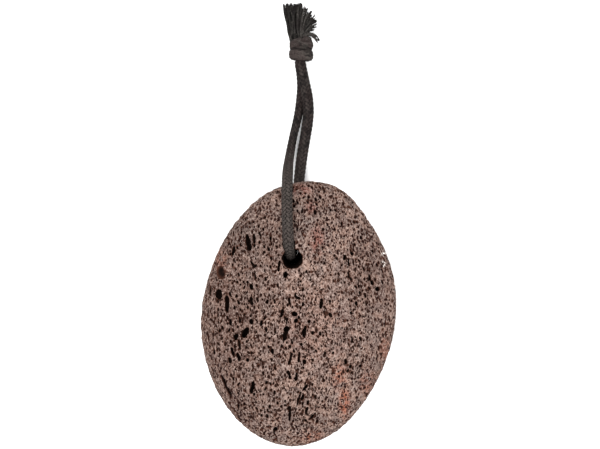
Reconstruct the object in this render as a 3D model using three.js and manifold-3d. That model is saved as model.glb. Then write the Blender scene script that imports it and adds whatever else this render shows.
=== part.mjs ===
// A pumice foot stone with its hanging cord, lying on its broad back on a flat surface.
// The stone is one natural piece with one hole drilled through it near its narrow end. A soft
// cotton cord runs through the hole as one loop, and both its ends are tied in one knot, past
// which they fray into two tufts.
// Millimetres. +Z is up and +Y points from the stone to the knot. The origin is on the surface,
// under the middle of the stone's outline.
import * as THREE from "three";
import { ParametricGeometry } from "three/addons/geometries/ParametricGeometry.js";
import { mergeVertices } from "three/addons/utils/BufferGeometryUtils.js";
import Module from "manifold-3d";

// Stone: its widest outline seen from above, counter-clockwise from the right-hand side.
const STONE_OUTLINE = [
  [34.9, 4.0],
  [32.6, 18.0],
  [26.2, 31.4],
  [16.4, 43.6],
  [6.1, 47.5],
  [-9.5, 44.5],
  [-21.9, 33.8],
  [-30.3, 19.4],
  [-34.9, 1.0],
  [-34.0, -14.0],
  [-28.4, -29.4],
  [-17.4, -42.2],
  [-3.0, -47.5],
  [12.0, -43.0],
  [24.6, -29.8],
  [32.8, -11.7],
];
// Height of that outline over the surface at the origin, and how much it climbs towards +Y.
const RIM_HEIGHT = 11.5;
const RIM_CLIMB = 0.045;
// Each face rises from the rim as a superellipse: depth at the origin, how much thinner it gets
// towards +Y, the powers across the plan and along the height, and its long gentle waves.
const FRONT_FACE = {
  side: 1,
  depth: 14,
  thinning: 0.05,
  planPower: 2.8,
  heightPower: 2.2,
  wave: 0.5,
};
const BACK_FACE = {
  side: -1,
  depth: 12.4,
  thinning: 0.055,
  planPower: 2.2,
  heightPower: 2.0,
  wave: 0.3,
};
const WAVE_LENGTH_X = 54;
const WAVE_LENGTH_Y = 66;
const STONE_SLICES = 72;
const STONE_STACKS = 30;

// The hole, drilled from the front on a slight slant: its middle and diameter in the front and at
// the back, where it narrows to little more than the cord.
const HOLE_FRONT = { at: [-2.3, 19.9, 25.0], diameter: 7.2 };
const HOLE_BACK = { at: [-2.5, 22.2, 0.0], diameter: 4.8 };
const HOLE_SIDES = 24;
// How far the drill reaches past both, as a share of the hole's length.
const HOLE_OVERRUN = 0.2;

// The cord: its route runs from the knot over the front of the stone, down through the hole,
// and back under the stone to the knot.
const CORD_DIAMETER = 3.8;
const CORD_SIDES = 8;
const CORD_STEPS = 76;
const CORD_CLEARANCE = 0.35;
const GROOVE_SIDES = 10;
const CORD_ROUTE = [
  [0.35, 90.6, 2.3],
  [0.95, 86.5, 2.05],
  [1.2, 81.5, 1.95],
  [0.75, 76.5, 1.95],
  [0.1, 72.0, 1.95],
  [-0.7, 68.2, 1.95],
  [-1.6, 64.4, 2.1],
  [-2.4, 60.5, 3.0],
  [-3.1, 56.9, 5.1],
  [-3.6, 54.1, 8.1],
  [-3.9, 51.9, 11.6],
  [-4.1, 49.7, 15.3],
  [-4.2, 46.8, 18.7],
  [-4.3, 42.9, 21.5],
  [-4.3, 38.5, 23.6],
  [-4.2, 34.2, 25.1],
  [-4.05, 30.7, 25.75],
  [-3.85, 27.4, 25.3],
  [-3.6, 24.5, 23.6],
  [-3.3, 22.4, 20.8],
  [-3.1, 21.3, 17.3],
  [-2.9, 21.1, 13.2],
  [-2.7, 21.7, 9.4],
  [-2.5, 23.2, 6.1],
  [-2.25, 25.7, 3.75],
  [-1.9, 29.1, 2.35],
  [-1.5, 33.4, 1.95],
  [-0.8, 40.4, 1.95],
  [-0.05, 47.4, 1.95],
  [0.6, 53.0, 1.95],
  [1.3, 58.0, 2.05],
  [2.1, 62.8, 2.5],
  [2.9, 67.6, 3.3],
  [3.4, 72.4, 4.3],
  [3.1, 77.5, 5.25],
  [2.2, 82.0, 5.85],
  [1.2, 86.5, 6.15],
  [0.45, 90.6, 6.25],
];

// The knot: a barrel of two wraps side by side, its axis along +Y. Radius and place along it.
const KNOT_CENTRE = [0.75, 95.2, 4.4];
const KNOT_SEGMENTS = 20;
const KNOT_PROFILE = [
  [0, -4.2],
  [2.7, -4.2],
  [3.7, -3.5],
  [4.3, -2.3],
  [4.35, -1.1],
  [3.95, -0.1],
  [4.3, 1.0],
  [4.25, 2.3],
  [3.5, 3.5],
  [2.5, 4.2],
  [0, 4.2],
];

// The frayed ends: sections from the knot outwards, each its centre and its half width and height.
const TUFT_SIDES = 12;
const LEFT_TUFT = [
  { at: [-0.75, 99.75, 4.4], half: [2.2, 2.2] },
  { at: [-1.6, 102.6, 4.0], half: [2.6, 2.5] },
  { at: [-2.2, 106.6, 3.5], half: [3.0, 2.8] },
  { at: [-2.4, 111.4, 3.2], half: [3.3, 2.8] },
];
const RIGHT_TUFT = [
  { at: [2.75, 99.85, 4.8], half: [0.9, 1.6] },
  { at: [3.1, 102.3, 4.6], half: [1.3, 2.0] },
  { at: [4.1, 105.2, 4.1], half: [1.9, 2.3] },
  { at: [4.9, 108.2, 3.8], half: [1.7, 2.3] },
];

const wasm = await Module();
wasm.setup();

// A closed geometry as a solid that can be cut.
function toSolid(geometry) {
  const bare = geometry.index ? geometry.toNonIndexed() : geometry.clone();
  bare.deleteAttribute("normal");
  bare.deleteAttribute("uv");
  const merged = mergeVertices(bare, 1e-3);
  const mesh = new wasm.Mesh({
    numProp: 3,
    vertProperties: merged.attributes.position.array,
    triVerts: new Uint32Array(merged.index.array),
  });
  return new wasm.Manifold(mesh);
}

// A solid back as a geometry.
function toGeometry(solid) {
  const mesh = solid.getMesh();
  const geometry = new THREE.BufferGeometry();
  geometry.setAttribute("position", new THREE.BufferAttribute(mesh.vertProperties, 3));
  geometry.setIndex(new THREE.BufferAttribute(mesh.triVerts, 1));
  const faceted = geometry.toNonIndexed();
  faceted.computeVertexNormals();
  return faceted;
}

// One closed tube of round section along a route, with flat ends.
function tubeAlong(route, diameter, sides, steps) {
  const points = route.map((point) => new THREE.Vector3(...point));
  const path = new THREE.CatmullRomCurve3(points, false, "centripetal");
  const section = new THREE.Shape();
  section.absarc(0, 0, diameter / 2, 0, 2 * Math.PI);
  const ring = new THREE.Shape(section.getSpacedPoints(sides).slice(0, sides));
  return new THREE.ExtrudeGeometry(ring, { steps, extrudePath: path, bevelEnabled: false });
}

// The stone's surface before it is drilled: around runs once round the outline, and tilt runs
// from the middle of the back, over the rim, to the middle of the front.
function stoneSurface(outline) {
  return (around, tilt, target) => {
    const angle = (tilt - 0.5) * Math.PI;
    const face = angle >= 0 ? FRONT_FACE : BACK_FACE;
    const spread = Math.max(Math.cos(angle), 0) ** (2 / face.planPower);
    const rise = Math.abs(Math.sin(angle)) ** (2 / face.heightPower);
    const rim = outline.getPoint(around);
    const x = rim.x * spread;
    const y = rim.y * spread;
    const wave = Math.sin((2 * Math.PI * x) / WAVE_LENGTH_X + 0.6)
      * Math.sin((2 * Math.PI * y) / WAVE_LENGTH_Y + 1.1);
    const depth = face.depth - face.thinning * y + face.wave * wave;
    const z = RIM_HEIGHT + RIM_CLIMB * y + face.side * depth * rise;
    target.set(x, y, Math.max(z, 0));
  };
}

// The drill: a tapering round bar from behind the back to before the front of the stone.
function drill() {
  const bar = new THREE.CylinderGeometry(1, 1, 1 + 2 * HOLE_OVERRUN, HOLE_SIDES);
  bar.rotateX(Math.PI / 2);
  const position = bar.attributes.position;
  const front = new THREE.Vector3(...HOLE_FRONT.at);
  const back = new THREE.Vector3(...HOLE_BACK.at);
  for (let i = 0; i < position.count; i += 1) {
    const share = position.getZ(i) + 0.5;
    const middle = new THREE.Vector3().lerpVectors(back, front, share);
    const radius = THREE.MathUtils.lerp(HOLE_BACK.diameter, HOLE_FRONT.diameter, share) / 2;
    const x = middle.x + radius * position.getX(i);
    const y = middle.y + radius * position.getY(i);
    position.setXYZ(i, x, y, middle.z);
  }
  return bar;
}

// The whole stone: its outer shape with a flat worn patch under it, less the drilled hole and
// the grooves that the cord has worn into the hole's two mouths.
function pumiceStone() {
  const points = STONE_OUTLINE.map(([x, y]) => new THREE.Vector3(x, y, 0));
  const outline = new THREE.CatmullRomCurve3(points, true, "centripetal");
  const body = toSolid(new ParametricGeometry(stoneSurface(outline), STONE_SLICES, STONE_STACKS));
  const fat = (CORD_DIAMETER + 2 * CORD_CLEARANCE) / Math.cos(Math.PI / GROOVE_SIDES);
  const groove = tubeAlong(CORD_ROUTE, fat, GROOVE_SIDES, CORD_STEPS);
  return toGeometry(body.subtract(toSolid(drill())).subtract(toSolid(groove)));
}

// The knot as a turned barrel.
function cordKnot() {
  const profile = KNOT_PROFILE.map(([radius, along]) => new THREE.Vector2(radius, along));
  const barrel = new THREE.LatheGeometry(profile, KNOT_SEGMENTS);
  return toGeometry(toSolid(barrel).translate(KNOT_CENTRE));
}

// A tuft as a tube whose oval section follows the given sections from end to end.
function tuft(sections) {
  const bands = sections.length - 1;
  const geometry = new THREE.CylinderGeometry(1, 1, 1, TUFT_SIDES, bands);
  const position = geometry.attributes.position;
  for (let i = 0; i < position.count; i += 1) {
    const { at, half } = sections[Math.round((position.getY(i) + 0.5) * bands)];
    const x = at[0] + half[0] * position.getX(i);
    const z = at[2] + half[1] * position.getZ(i);
    position.setXYZ(i, x, at[1], z);
  }
  return geometry;
}

// One named piece with its own material.
function piece(name, geometry, colour, roughness) {
  const material = new THREE.MeshStandardMaterial({ color: colour, roughness, metalness: 0 });
  material.name = name + "_finish";
  const mesh = new THREE.Mesh(geometry, material);
  mesh.name = name;
  return mesh;
}

const pumice = new THREE.Group();
pumice.name = "pumice_stone_on_cord";
pumice.add(piece("pumice_stone", pumiceStone(), 0x8c7268, 0.95));

const cord = new THREE.Group();
cord.name = "cord";
const loop = tubeAlong(CORD_ROUTE, CORD_DIAMETER, CORD_SIDES, CORD_STEPS);
cord.add(piece("hanging_cord", toGeometry(toSolid(loop)), 0x47413f, 0.9));
cord.add(piece("cord_knot", cordKnot(), 0x453e3c, 0.9));
cord.add(piece("frayed_end_left", tuft(LEFT_TUFT), 0x3a3735, 0.95));
cord.add(piece("frayed_end_right", tuft(RIGHT_TUFT), 0x3a3735, 0.95));
pumice.add(cord);

export default pumice;
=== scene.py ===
"""Looks of a pumice foot stone that hangs on a braided cotton cord, laid down on its back.

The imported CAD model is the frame: +Z is up, +Y points from the stone to the knot, and the origin
lies on the surface under the middle of the stone. Blender works in metres. Sizes given in
millimetres below are turned into metres by MM where they are used.
"""

import logging
from collections.abc import Sequence
from dataclasses import dataclass, field, replace
from enum import Enum

import bpy
import numpy as np
from numpy.typing import NDArray
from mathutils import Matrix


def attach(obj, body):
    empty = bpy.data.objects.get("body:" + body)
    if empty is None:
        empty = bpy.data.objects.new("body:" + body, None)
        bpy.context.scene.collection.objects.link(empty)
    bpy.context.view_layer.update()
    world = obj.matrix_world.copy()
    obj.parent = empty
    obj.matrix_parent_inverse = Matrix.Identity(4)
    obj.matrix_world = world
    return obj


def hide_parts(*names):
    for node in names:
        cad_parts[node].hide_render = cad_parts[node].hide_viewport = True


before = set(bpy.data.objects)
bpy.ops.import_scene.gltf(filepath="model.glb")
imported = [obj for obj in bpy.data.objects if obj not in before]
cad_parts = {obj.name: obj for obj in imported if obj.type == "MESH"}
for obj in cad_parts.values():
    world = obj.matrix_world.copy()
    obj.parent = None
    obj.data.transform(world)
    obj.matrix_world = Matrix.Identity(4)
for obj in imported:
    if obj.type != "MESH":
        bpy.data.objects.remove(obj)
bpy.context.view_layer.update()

Array = NDArray[np.float64]
Faces = NDArray[np.int32]
Points = Sequence[Sequence[float]] | Array
Place = tuple[float, float, float]
Random = np.random.Generator
Link = bpy.types.NodeSocket
MM = 0.001
BODY = "root"
log = logging.getLogger("pumice")

# The cord's route, which is the same as the CAD solid's: from the knot over the front of the
# stone, down through the hole, and back under the stone to the knot. Metres.
CORD_ROUTE = (
    (0.00035, 0.0906, 0.0023), (0.00095, 0.0865, 0.00205), (0.0012, 0.0815, 0.00195),
    (0.00075, 0.0765, 0.00195), (0.0001, 0.072, 0.00195), (-0.0007, 0.0682, 0.00195),
    (-0.0016, 0.0644, 0.0021), (-0.0024, 0.0605, 0.003), (-0.0031, 0.0569, 0.0051),
    (-0.0036, 0.0541, 0.0081), (-0.0039, 0.0519, 0.0116), (-0.0041, 0.0497, 0.0153),
    (-0.0042, 0.0468, 0.0187), (-0.0043, 0.0429, 0.0215), (-0.0043, 0.0385, 0.0236),
    (-0.0042, 0.0342, 0.0251), (-0.00405, 0.0307, 0.02575), (-0.00385, 0.0274, 0.0253),
    (-0.0036, 0.0245, 0.0236), (-0.0033, 0.0224, 0.0208), (-0.0031, 0.0213, 0.0173),
    (-0.0029, 0.0211, 0.0132), (-0.0027, 0.0217, 0.0094), (-0.0025, 0.0232, 0.0061),
    (-0.00225, 0.0257, 0.00375), (-0.0019, 0.0291, 0.00235), (-0.0015, 0.0334, 0.00195),
    (-0.0008, 0.0404, 0.00195), (-0.00005, 0.0474, 0.00195), (0.0006, 0.053, 0.00195),
    (0.0013, 0.058, 0.00205), (0.0021, 0.0628, 0.0025), (0.0029, 0.0676, 0.0033),
    (0.0034, 0.0724, 0.0043), (0.0031, 0.0775, 0.00525), (0.0022, 0.082, 0.00585),
    (0.0012, 0.0865, 0.00615), (0.00045, 0.0906, 0.00625),
)
SPAN_POINTS = 24


# ---------------------------------------------------------------------------------------------
# Curves and meshes
# ---------------------------------------------------------------------------------------------


def unit(vectors: Array) -> Array:
    """Returns each vector divided by its own length."""
    return vectors / np.maximum(np.linalg.norm(vectors, axis=-1, keepdims=True), 1e-12)


def ease(values: Array, start: float, end: float) -> Array:
    """Returns 0 below start and 1 above end, and between them the smooth step 3t^2 - 2t^3."""
    t = np.clip((values - start) / (end - start), 0.0, 1.0)
    return t * t * (3.0 - 2.0 * t)


def through(points: Points, closed: bool = False) -> Array:
    """Works out a centripetal Catmull-Rom curve, densely and span by span.

    A span's knots lie the square root of each chord apart. The curve blends three straight
    lines between knots into two parabolas, and these into one cubic.

    Args:
        points: The points that the curve passes through.
        closed: True if the curve returns to its first point.

    Returns:
        Points along the curve, SPAN_POINTS for each span.
    """
    given = np.asarray(points, float)
    if closed:
        p = np.vstack([given[-1:], given, given[:2]])
    else:
        p = np.vstack([2 * given[0] - given[1], given, 2 * given[-1] - given[-2]])
    p0, p1, p2, p3 = (p[i : len(p) - 3 + i, None] for i in range(4))
    t0 = np.zeros((len(p) - 3, 1, 1))
    t1 = t0 + np.linalg.norm(p1 - p0, axis=-1, keepdims=True) ** 0.5
    t2 = t1 + np.linalg.norm(p2 - p1, axis=-1, keepdims=True) ** 0.5
    t3 = t2 + np.linalg.norm(p3 - p2, axis=-1, keepdims=True) ** 0.5
    t = t1 + (t2 - t1) * np.linspace(0, 1, SPAN_POINTS, endpoint=False)[None, :, None]
    a1 = ((t1 - t) * p0 + (t - t0) * p1) / (t1 - t0)
    a2 = ((t2 - t) * p1 + (t - t1) * p2) / (t2 - t1)
    a3 = ((t3 - t) * p2 + (t - t2) * p3) / (t3 - t2)
    b1 = ((t2 - t) * a1 + (t - t0) * a2) / (t2 - t0)
    b2 = ((t3 - t) * a2 + (t - t1) * a3) / (t3 - t1)
    curve = (((t2 - t) * b1 + (t - t1) * b2) / (t2 - t1)).reshape(-1, given.shape[1])
    return curve if closed else np.vstack([curve, given[-1:]])


def evenly(points: Points, count: int, step: float) -> tuple[Array, Array]:
    """Lays points at even spacing on the smooth curve through some points.

    Args:
        points: The points that the curve passes through.
        count: How many to lay, or 0 to go by the step.
        step: Their spacing, about, which only counts without a count.

    Returns:
        The laid points, and how far along the curve each is.
    """
    curve = through(points)
    run = np.r_[0.0, np.cumsum(np.linalg.norm(np.diff(curve, axis=0), axis=1))]
    along = np.linspace(0.0, run[-1], count or max(4, int(round(run[-1] / step)) + 1))
    return np.stack([np.interp(along, run, part) for part in curve.T], axis=1), along


@dataclass(frozen=True)
class Rail:
    """A path at even spacing, with a side and an up direction at each of its points."""

    points: Array
    along: Array
    side: Array
    up: Array

    @classmethod
    def lay(cls, points: Points, step: float, hint: Array) -> "Rail":
        """Lays a rail along a smooth curve.

        The side direction is the hint less its share along the path, so it never spins.

        Args:
            points: The points that the curve passes through.
            step: The spacing of the rail's points, about.
            hint: The side direction wanted. The path never runs along it.

        Returns:
            The rail.
        """
        even, along = evenly(points, 0, step)
        tangent = unit(np.gradient(even, axis=0))
        side = unit(hint - (tangent @ hint)[:, None] * tangent)
        return cls(even, along, side, np.cross(tangent, side))

    @property
    def length(self) -> float:
        """The path's length."""
        return float(self.along[-1])

    def apart(self, places: Array, half_side: float, half_up: float) -> tuple[Array, Array]:
        """Works out how far places lie from a round cord along the rail, and which way it is.

        Each place's offset from the nearest point of the rail is split along the side, up and
        forward directions, and each part is divided by the cord's half size. The distance is
        the length of what is left, so it is 1 on the cord's surface.

        Args:
            places: The places.
            half_side: Half the cord's width.
            half_up: Half its thickness.

        Returns:
            The distance of each place, and the direction from it to the rail.
        """
        near = ((places[:, None] - self.points[None]) ** 2).sum(axis=2).argmin(axis=1)
        offset = places - self.points[near]
        forward = np.cross(self.side, self.up)
        parts = [
            np.einsum("ij,ij->i", offset, way[near]) / size
            for way, size in ((self.side, half_side), (self.up, half_up), (forward, half_up))
        ]
        return np.sqrt(sum(part**2 for part in parts)), unit(-offset)


def store(mesh: bpy.types.Mesh, values: dict[str, Array]) -> None:
    """Stores named values at a mesh's vertices.

    Args:
        mesh: The mesh.
        values: One number for each vertex, by name.
    """
    for name, value in values.items():
        layer = mesh.attributes.new(name, "FLOAT", "POINT")
        layer.data.foreach_set("value", value.astype(np.float32))


def points_of(mesh: bpy.types.Mesh) -> NDArray[np.float32]:
    """Reads where a mesh's vertices are.

    Args:
        mesh: The mesh.

    Returns:
        The places, as rows of xyz.
    """
    points = np.empty(len(mesh.vertices) * 3, np.float32)
    mesh.vertices.foreach_get("co", points)
    return points.reshape(-1, 3)


def triangles_of(mesh: bpy.types.Mesh) -> int:
    """Returns how many triangles a mesh makes."""
    return len(mesh.loops) - 2 * len(mesh.polygons)


@dataclass
class Surface:
    """Vertices and four-cornered or many-cornered faces, with a value at each vertex."""

    vertices: Array
    faces: list[Faces]
    values: dict[str, Array] = field(default_factory=dict)

    @classmethod
    def tube(cls, rings: Array, values: dict[str, Array]) -> "Surface":
        """Joins rings of vertices into closed tubes with a flat face at each end.

        Args:
            rings: Vertices as (tube, ring, place round the ring, xyz).
            values: Named values as (tube, ring, place round the ring).

        Returns:
            The closed surface.
        """
        tubes, count, sides = rings.shape[:3]
        index = np.arange(tubes * count * sides, dtype=np.int32).reshape(tubes, count, sides)
        here, there = index[:, :-1], index[:, 1:]
        quads = np.stack(
            [here, np.roll(here, -1, axis=2), np.roll(there, -1, axis=2), there], axis=-1
        )
        faces = [quads.reshape(-1, 4), index[:, 0, ::-1], index[:, -1]]
        flat = {name: value.reshape(-1) for name, value in values.items()}
        return cls(rings.reshape(-1, 3), faces, flat)

    @classmethod
    def joined(cls, parts: Sequence["Surface"]) -> "Surface":
        """Joins several surfaces.

        Args:
            parts: The surfaces, which carry the same named values.

        Returns:
            One surface, each part still closed in itself.
        """
        faces: list[Faces] = []
        start = 0
        for part in parts:
            faces += [block + np.int32(start) for block in part.faces]
            start += len(part.vertices)
        names = parts[0].values
        values = {name: np.concatenate([part.values[name] for part in parts]) for name in names}
        return cls(np.vstack([part.vertices for part in parts]), faces, values)

    def to_object(self, name: str, smooth: bool = True) -> bpy.types.Object:
        """Puts the surface into a mesh object at the origin.

        Args:
            name: The piece's name.
            smooth: True if its faces are shaded smooth.

        Returns:
            The object, linked to the scene.
        """
        mesh = bpy.data.meshes.new(name)
        corners = np.concatenate([block.reshape(-1) for block in self.faces]).astype(np.int32)
        sizes = np.concatenate([np.full(len(block), block.shape[1]) for block in self.faces])
        starts = np.r_[0, np.cumsum(sizes)[:-1]].astype(np.int32)
        mesh.vertices.add(len(self.vertices))
        mesh.vertices.foreach_set("co", self.vertices.astype(np.float32).ravel())
        mesh.loops.add(len(corners))
        mesh.loops.foreach_set("vertex_index", corners)
        mesh.polygons.add(len(sizes))
        mesh.polygons.foreach_set("loop_start", starts)
        mesh.update(calc_edges=True)
        mesh.validate()
        mesh.polygons.foreach_set("use_smooth", np.full(len(mesh.polygons), smooth))
        store(mesh, self.values)
        made = bpy.data.objects.new(name, mesh)
        bpy.context.scene.collection.objects.link(made)
        return made


# ---------------------------------------------------------------------------------------------
# Finishes
# ---------------------------------------------------------------------------------------------

Colour = tuple[float, float, float]
Inputs = dict[str | int, object]


def linear(colour: Colour) -> tuple[float, float, float, float]:
    """Turns a display colour into a linear one.

    Args:
        colour: Red, green and blue from 0 to 255.

    Returns:
        The linear colour, with an alpha of 1.
    """
    part = np.asarray(colour, float) / 255.0
    low, high = part / 12.92, ((part + 0.055) / 1.055) ** 2.4
    red, green, blue = np.where(part <= 0.04045, low, high)
    return float(red), float(green), float(blue), 1.0


class Graph:
    """A material's node tree, with short calls that add a node and join it."""

    def __init__(self, name: str) -> None:
        """Starts an empty tree in a new material.

        Args:
            name: The material's name.
        """
        self.material = bpy.data.materials.new(name)
        self.material.use_nodes = True
        self.tree = self.material.node_tree
        self.tree.nodes.clear()
        self.coords = self.add("ShaderNodeTexCoord", {}).outputs["Object"]

    def add(self, kind: str, inputs: Inputs, **settings: object) -> bpy.types.Node:
        """Adds one node.

        Args:
            kind: The node's type.
            inputs: Values or sockets for its inputs, by name or place.
            settings: Its own settings.

        Returns:
            The node.
        """
        node = self.tree.nodes.new(kind)
        for name, setting in settings.items():
            setattr(node, name, setting)
        for key, value in inputs.items():
            if isinstance(value, bpy.types.NodeSocket):
                self.tree.links.new(value, node.inputs[key])
            else:
                node.inputs[key].default_value = value
        return node

    def value(self, name: str) -> Link:
        """Returns the socket of a named value that the mesh carries at its vertices."""
        return self.add("ShaderNodeAttribute", {}, attribute_name=name).outputs["Fac"]

    def stretched(self, scale: Colour, turn: float = 0.0) -> Link:
        """Returns Object coordinates scaled along each axis and turned about Z, in radians."""
        inputs = {"Vector": self.coords, "Scale": scale, "Rotation": (0.0, 0.0, turn)}
        return self.add("ShaderNodeMapping", inputs).outputs["Vector"]

    def noise(self, scale: float, detail: float = 2.0, vector: Link | None = None) -> Link:
        """Returns smooth noise from 0 to 1, whose scale is in waves to the metre."""
        inputs = {"Vector": vector or self.coords, "Scale": scale, "Detail": detail}
        return self.add("ShaderNodeTexNoise", inputs).outputs["Fac"]

    def band(
        self, value: Link, start: float, end: float, low: float = 0.0, high: float = 1.0
    ) -> Link:
        """Steps smoothly from one number to another.

        Args:
            value: The number to look at.
            start: Where the step starts.
            end: Where it ends, which may be less.
            low: The result before the start.
            high: The result past the end.

        Returns:
            The result.
        """
        ends = {"From Min": start, "From Max": end, "To Min": low, "To Max": high}
        inputs = {"Value": value, **ends}
        node = self.add("ShaderNodeMapRange", inputs, interpolation_type="SMOOTHSTEP")
        return node.outputs["Result"]

    def math(self, operation: str, first: Link | float, second: Link | float) -> Link:
        """Returns what an operation makes of two numbers."""
        return self.add("ShaderNodeMath", {0: first, 1: second}, operation=operation).outputs[0]

    def mix(self, share: Link, under: Link | Colour, over: Link | Colour) -> Link:
        """Lays one colour over another.

        Args:
            share: How much of the upper colour shows, from 0 to 1.
            under: The colour below.
            over: The colour on top.

        Returns:
            The mixed colour.
        """
        inputs: Inputs = {0: share}
        for place, colour in ((6, under), (7, over)):
            is_link = isinstance(colour, bpy.types.NodeSocket)
            inputs[place] = colour if is_link else linear(colour)
        return self.add("ShaderNodeMix", inputs, data_type="RGBA").outputs[2]

    def bump(self, height: Link, strength: float, depth: float) -> Link:
        """Returns normals bent by a height from 0 to 1 that stands for a depth in millimetres."""
        inputs = {"Height": height, "Strength": strength, "Distance": depth * MM}
        return self.add("ShaderNodeBump", inputs).outputs["Normal"]

    def finish(
        self, colour: Link, roughness: Link | float, gloss: float, normal: Link | None = None
    ) -> bpy.types.Material:
        """Ends the tree in one Principled shader.

        Args:
            colour: The base colour.
            roughness: The roughness.
            gloss: The specular level.
            normal: Bent normals, if any.

        Returns:
            The material.
        """
        inputs: Inputs = {"Base Color": colour, "Roughness": roughness}
        inputs["Specular IOR Level"] = gloss
        if normal:
            inputs["Normal"] = normal
        shader = self.add("ShaderNodeBsdfPrincipled", inputs)
        self.add("ShaderNodeOutputMaterial", {"Surface": shader.outputs["BSDF"]})
        return self.material


@dataclass(frozen=True)
class Cells:
    """Pores too fine for the mesh, whose openings the finish paints dark as painted shade: a foam
    of long cells with thin walls between.

    The scale is in cells to the metre. There is wall up to one distance from a cell's edge,
    and the pore is full from another, both in cells. A share of the cells is closed, and the
    next ones are only partly open.
    """

    scale: float
    wall: float
    clear: float
    closed: float
    stretch: Colour = (1.0, 0.62, 0.8)
    turn: float = 0.1
    partly: float = 0.25

    def pore(self, g: Graph) -> Link:
        """Adds the cells to a material.

        Args:
            g: The node tree.

        Returns:
            The share of open pore at each place.
        """
        sizes = {"Vector": g.stretched(self.stretch, self.turn), "Scale": self.scale}
        edge = g.add("ShaderNodeTexVoronoi", sizes, feature="DISTANCE_TO_EDGE").outputs["Distance"]
        chance = g.add("ShaderNodeTexVoronoi", sizes).outputs["Color"]
        chance = g.add("ShaderNodeSeparateColor", {"Color": chance}).outputs["Red"]
        is_open = g.band(chance, self.closed, self.closed + self.partly)
        return g.math("MULTIPLY", g.band(edge, self.wall, self.clear), is_open)


@dataclass(frozen=True)
class PumiceFinish:
    """Foamed lava: a pinkish grey skin, glassy specks, and fine pores and depths painted dark as
    painted shade.

    Colours are display colours. Scales are in waves to the metre.
    """

    skin_warm: Colour = (121, 99, 89)
    skin_cool: Colour = (103, 88, 82)
    skin_light: Colour = (135, 116, 108)
    skin_dark: Colour = (63, 48, 43)
    fleck: Colour = (147, 131, 123)
    # Painted shade: pore and pit darken the openings of pores too fine for the mesh, and wall and
    # deep darken the mesh's pores with depth; wall is partly the walls' own brown.
    pore: Colour = (26, 12, 8)
    pit: Colour = (54, 31, 24)
    wall: Colour = (60, 36, 27)
    deep: Colour = (14, 7, 5)
    rust: Colour = (124, 70, 50)
    rose: Colour = (106, 60, 51)
    ash: Colour = (84, 79, 76)
    umber: Colour = (70, 51, 45)
    chalk: Colour = (224, 216, 210)
    broad_scale: float = 260.0
    mottle_scale: float = 760.0
    patch_scale: float = 520.0
    grain_scale: float = 2900.0
    speck_scale: float = 1300.0
    pits: Cells = Cells(2500.0, 0.08, 0.2, 0.45)
    small_pores: Cells = Cells(1450.0, 0.1, 0.19, 0.46)
    large_pores: Cells = Cells(880.0, 0.16, 0.24, 0.46)
    pit_share: float = 0.8
    coarse_share: float = 0.5
    bump_depth: float = 0.2

    def make(self) -> bpy.types.Material:
        """Builds the material.

        Returns:
            The material, which reads the values depth, coarse, rust, rose, ash, umber and chalk.
        """
        g = Graph("pumice")
        broad = g.noise(self.broad_scale, 4.0)
        skin = g.mix(g.band(broad, 0.42, 0.58), self.skin_cool, self.skin_warm)
        mottle = g.noise(self.mottle_scale, 5.0, g.stretched((1.0, 0.6, 1.0)))
        skin = g.mix(g.band(mottle, 0.5, 0.64, 0.0, 0.6), skin, self.skin_light)
        skin = g.mix(g.band(mottle, 0.5, 0.34, 0.0, 0.3), skin, self.skin_dark)
        # Painted shade: the skin is darker where the foam is coarse, for the shade of its crowded
        # pores.
        coarse = g.math("MULTIPLY", g.value("coarse"), self.coarse_share)
        skin = g.mix(coarse, skin, self.skin_dark)
        break_up = g.band(g.noise(self.patch_scale, 3.0), 0.32, 0.54)
        for name, colour in (("rust", self.rust), ("rose", self.rose), ("ash", self.ash)):
            skin = g.mix(g.math("MULTIPLY", g.value(name), break_up), skin, colour)
        # Broad soft patches that darken the skin towards brown.
        skin = g.mix(g.value("umber"), skin, self.umber)
        grain = g.noise(self.grain_scale, 2.0, g.stretched((1.0, 0.5, 1.0), 0.1))
        skin = g.mix(g.band(grain, 0.52, 0.68, 0.0, 0.65), skin, self.fleck)
        skin = g.mix(g.band(grain, 0.48, 0.34, 0.0, 0.6), skin, self.skin_dark)
        speck = g.band(g.noise(self.speck_scale, 1.0), 0.5, 0.56)
        skin = g.mix(g.math("MULTIPLY", g.value("chalk"), speck), skin, self.chalk)
        # Painted shade: pits and pores too fine for the mesh are painted dark brown and near black
        # for the shade inside them; the bump below also dents them.
        pit = self.pits.pore(g)
        skin = g.mix(g.math("MULTIPLY", pit, self.pit_share), skin, self.pit)
        pore = g.math("MAXIMUM", self.small_pores.pore(g), self.large_pores.pore(g))
        skin = g.mix(pore, skin, self.pore)
        # Painted shade: down into the mesh's pores the colour steps to a brown, partly the walls'
        # own colour, and then to near black.
        depth = g.value("depth")
        colour = g.mix(g.band(depth, 0.05, 0.24), skin, self.wall)
        colour = g.mix(g.band(depth, 0.16, 0.75), colour, self.deep)
        height = g.math("SUBTRACT", g.math("MULTIPLY", grain, 0.4), g.math("MAXIMUM", pore, pit))
        normal = g.bump(height, 0.8, self.bump_depth)
        rough = g.band(grain, 0.3, 0.8, 0.98, 0.8)
        return g.finish(colour, rough, 0.03, normal)


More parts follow.
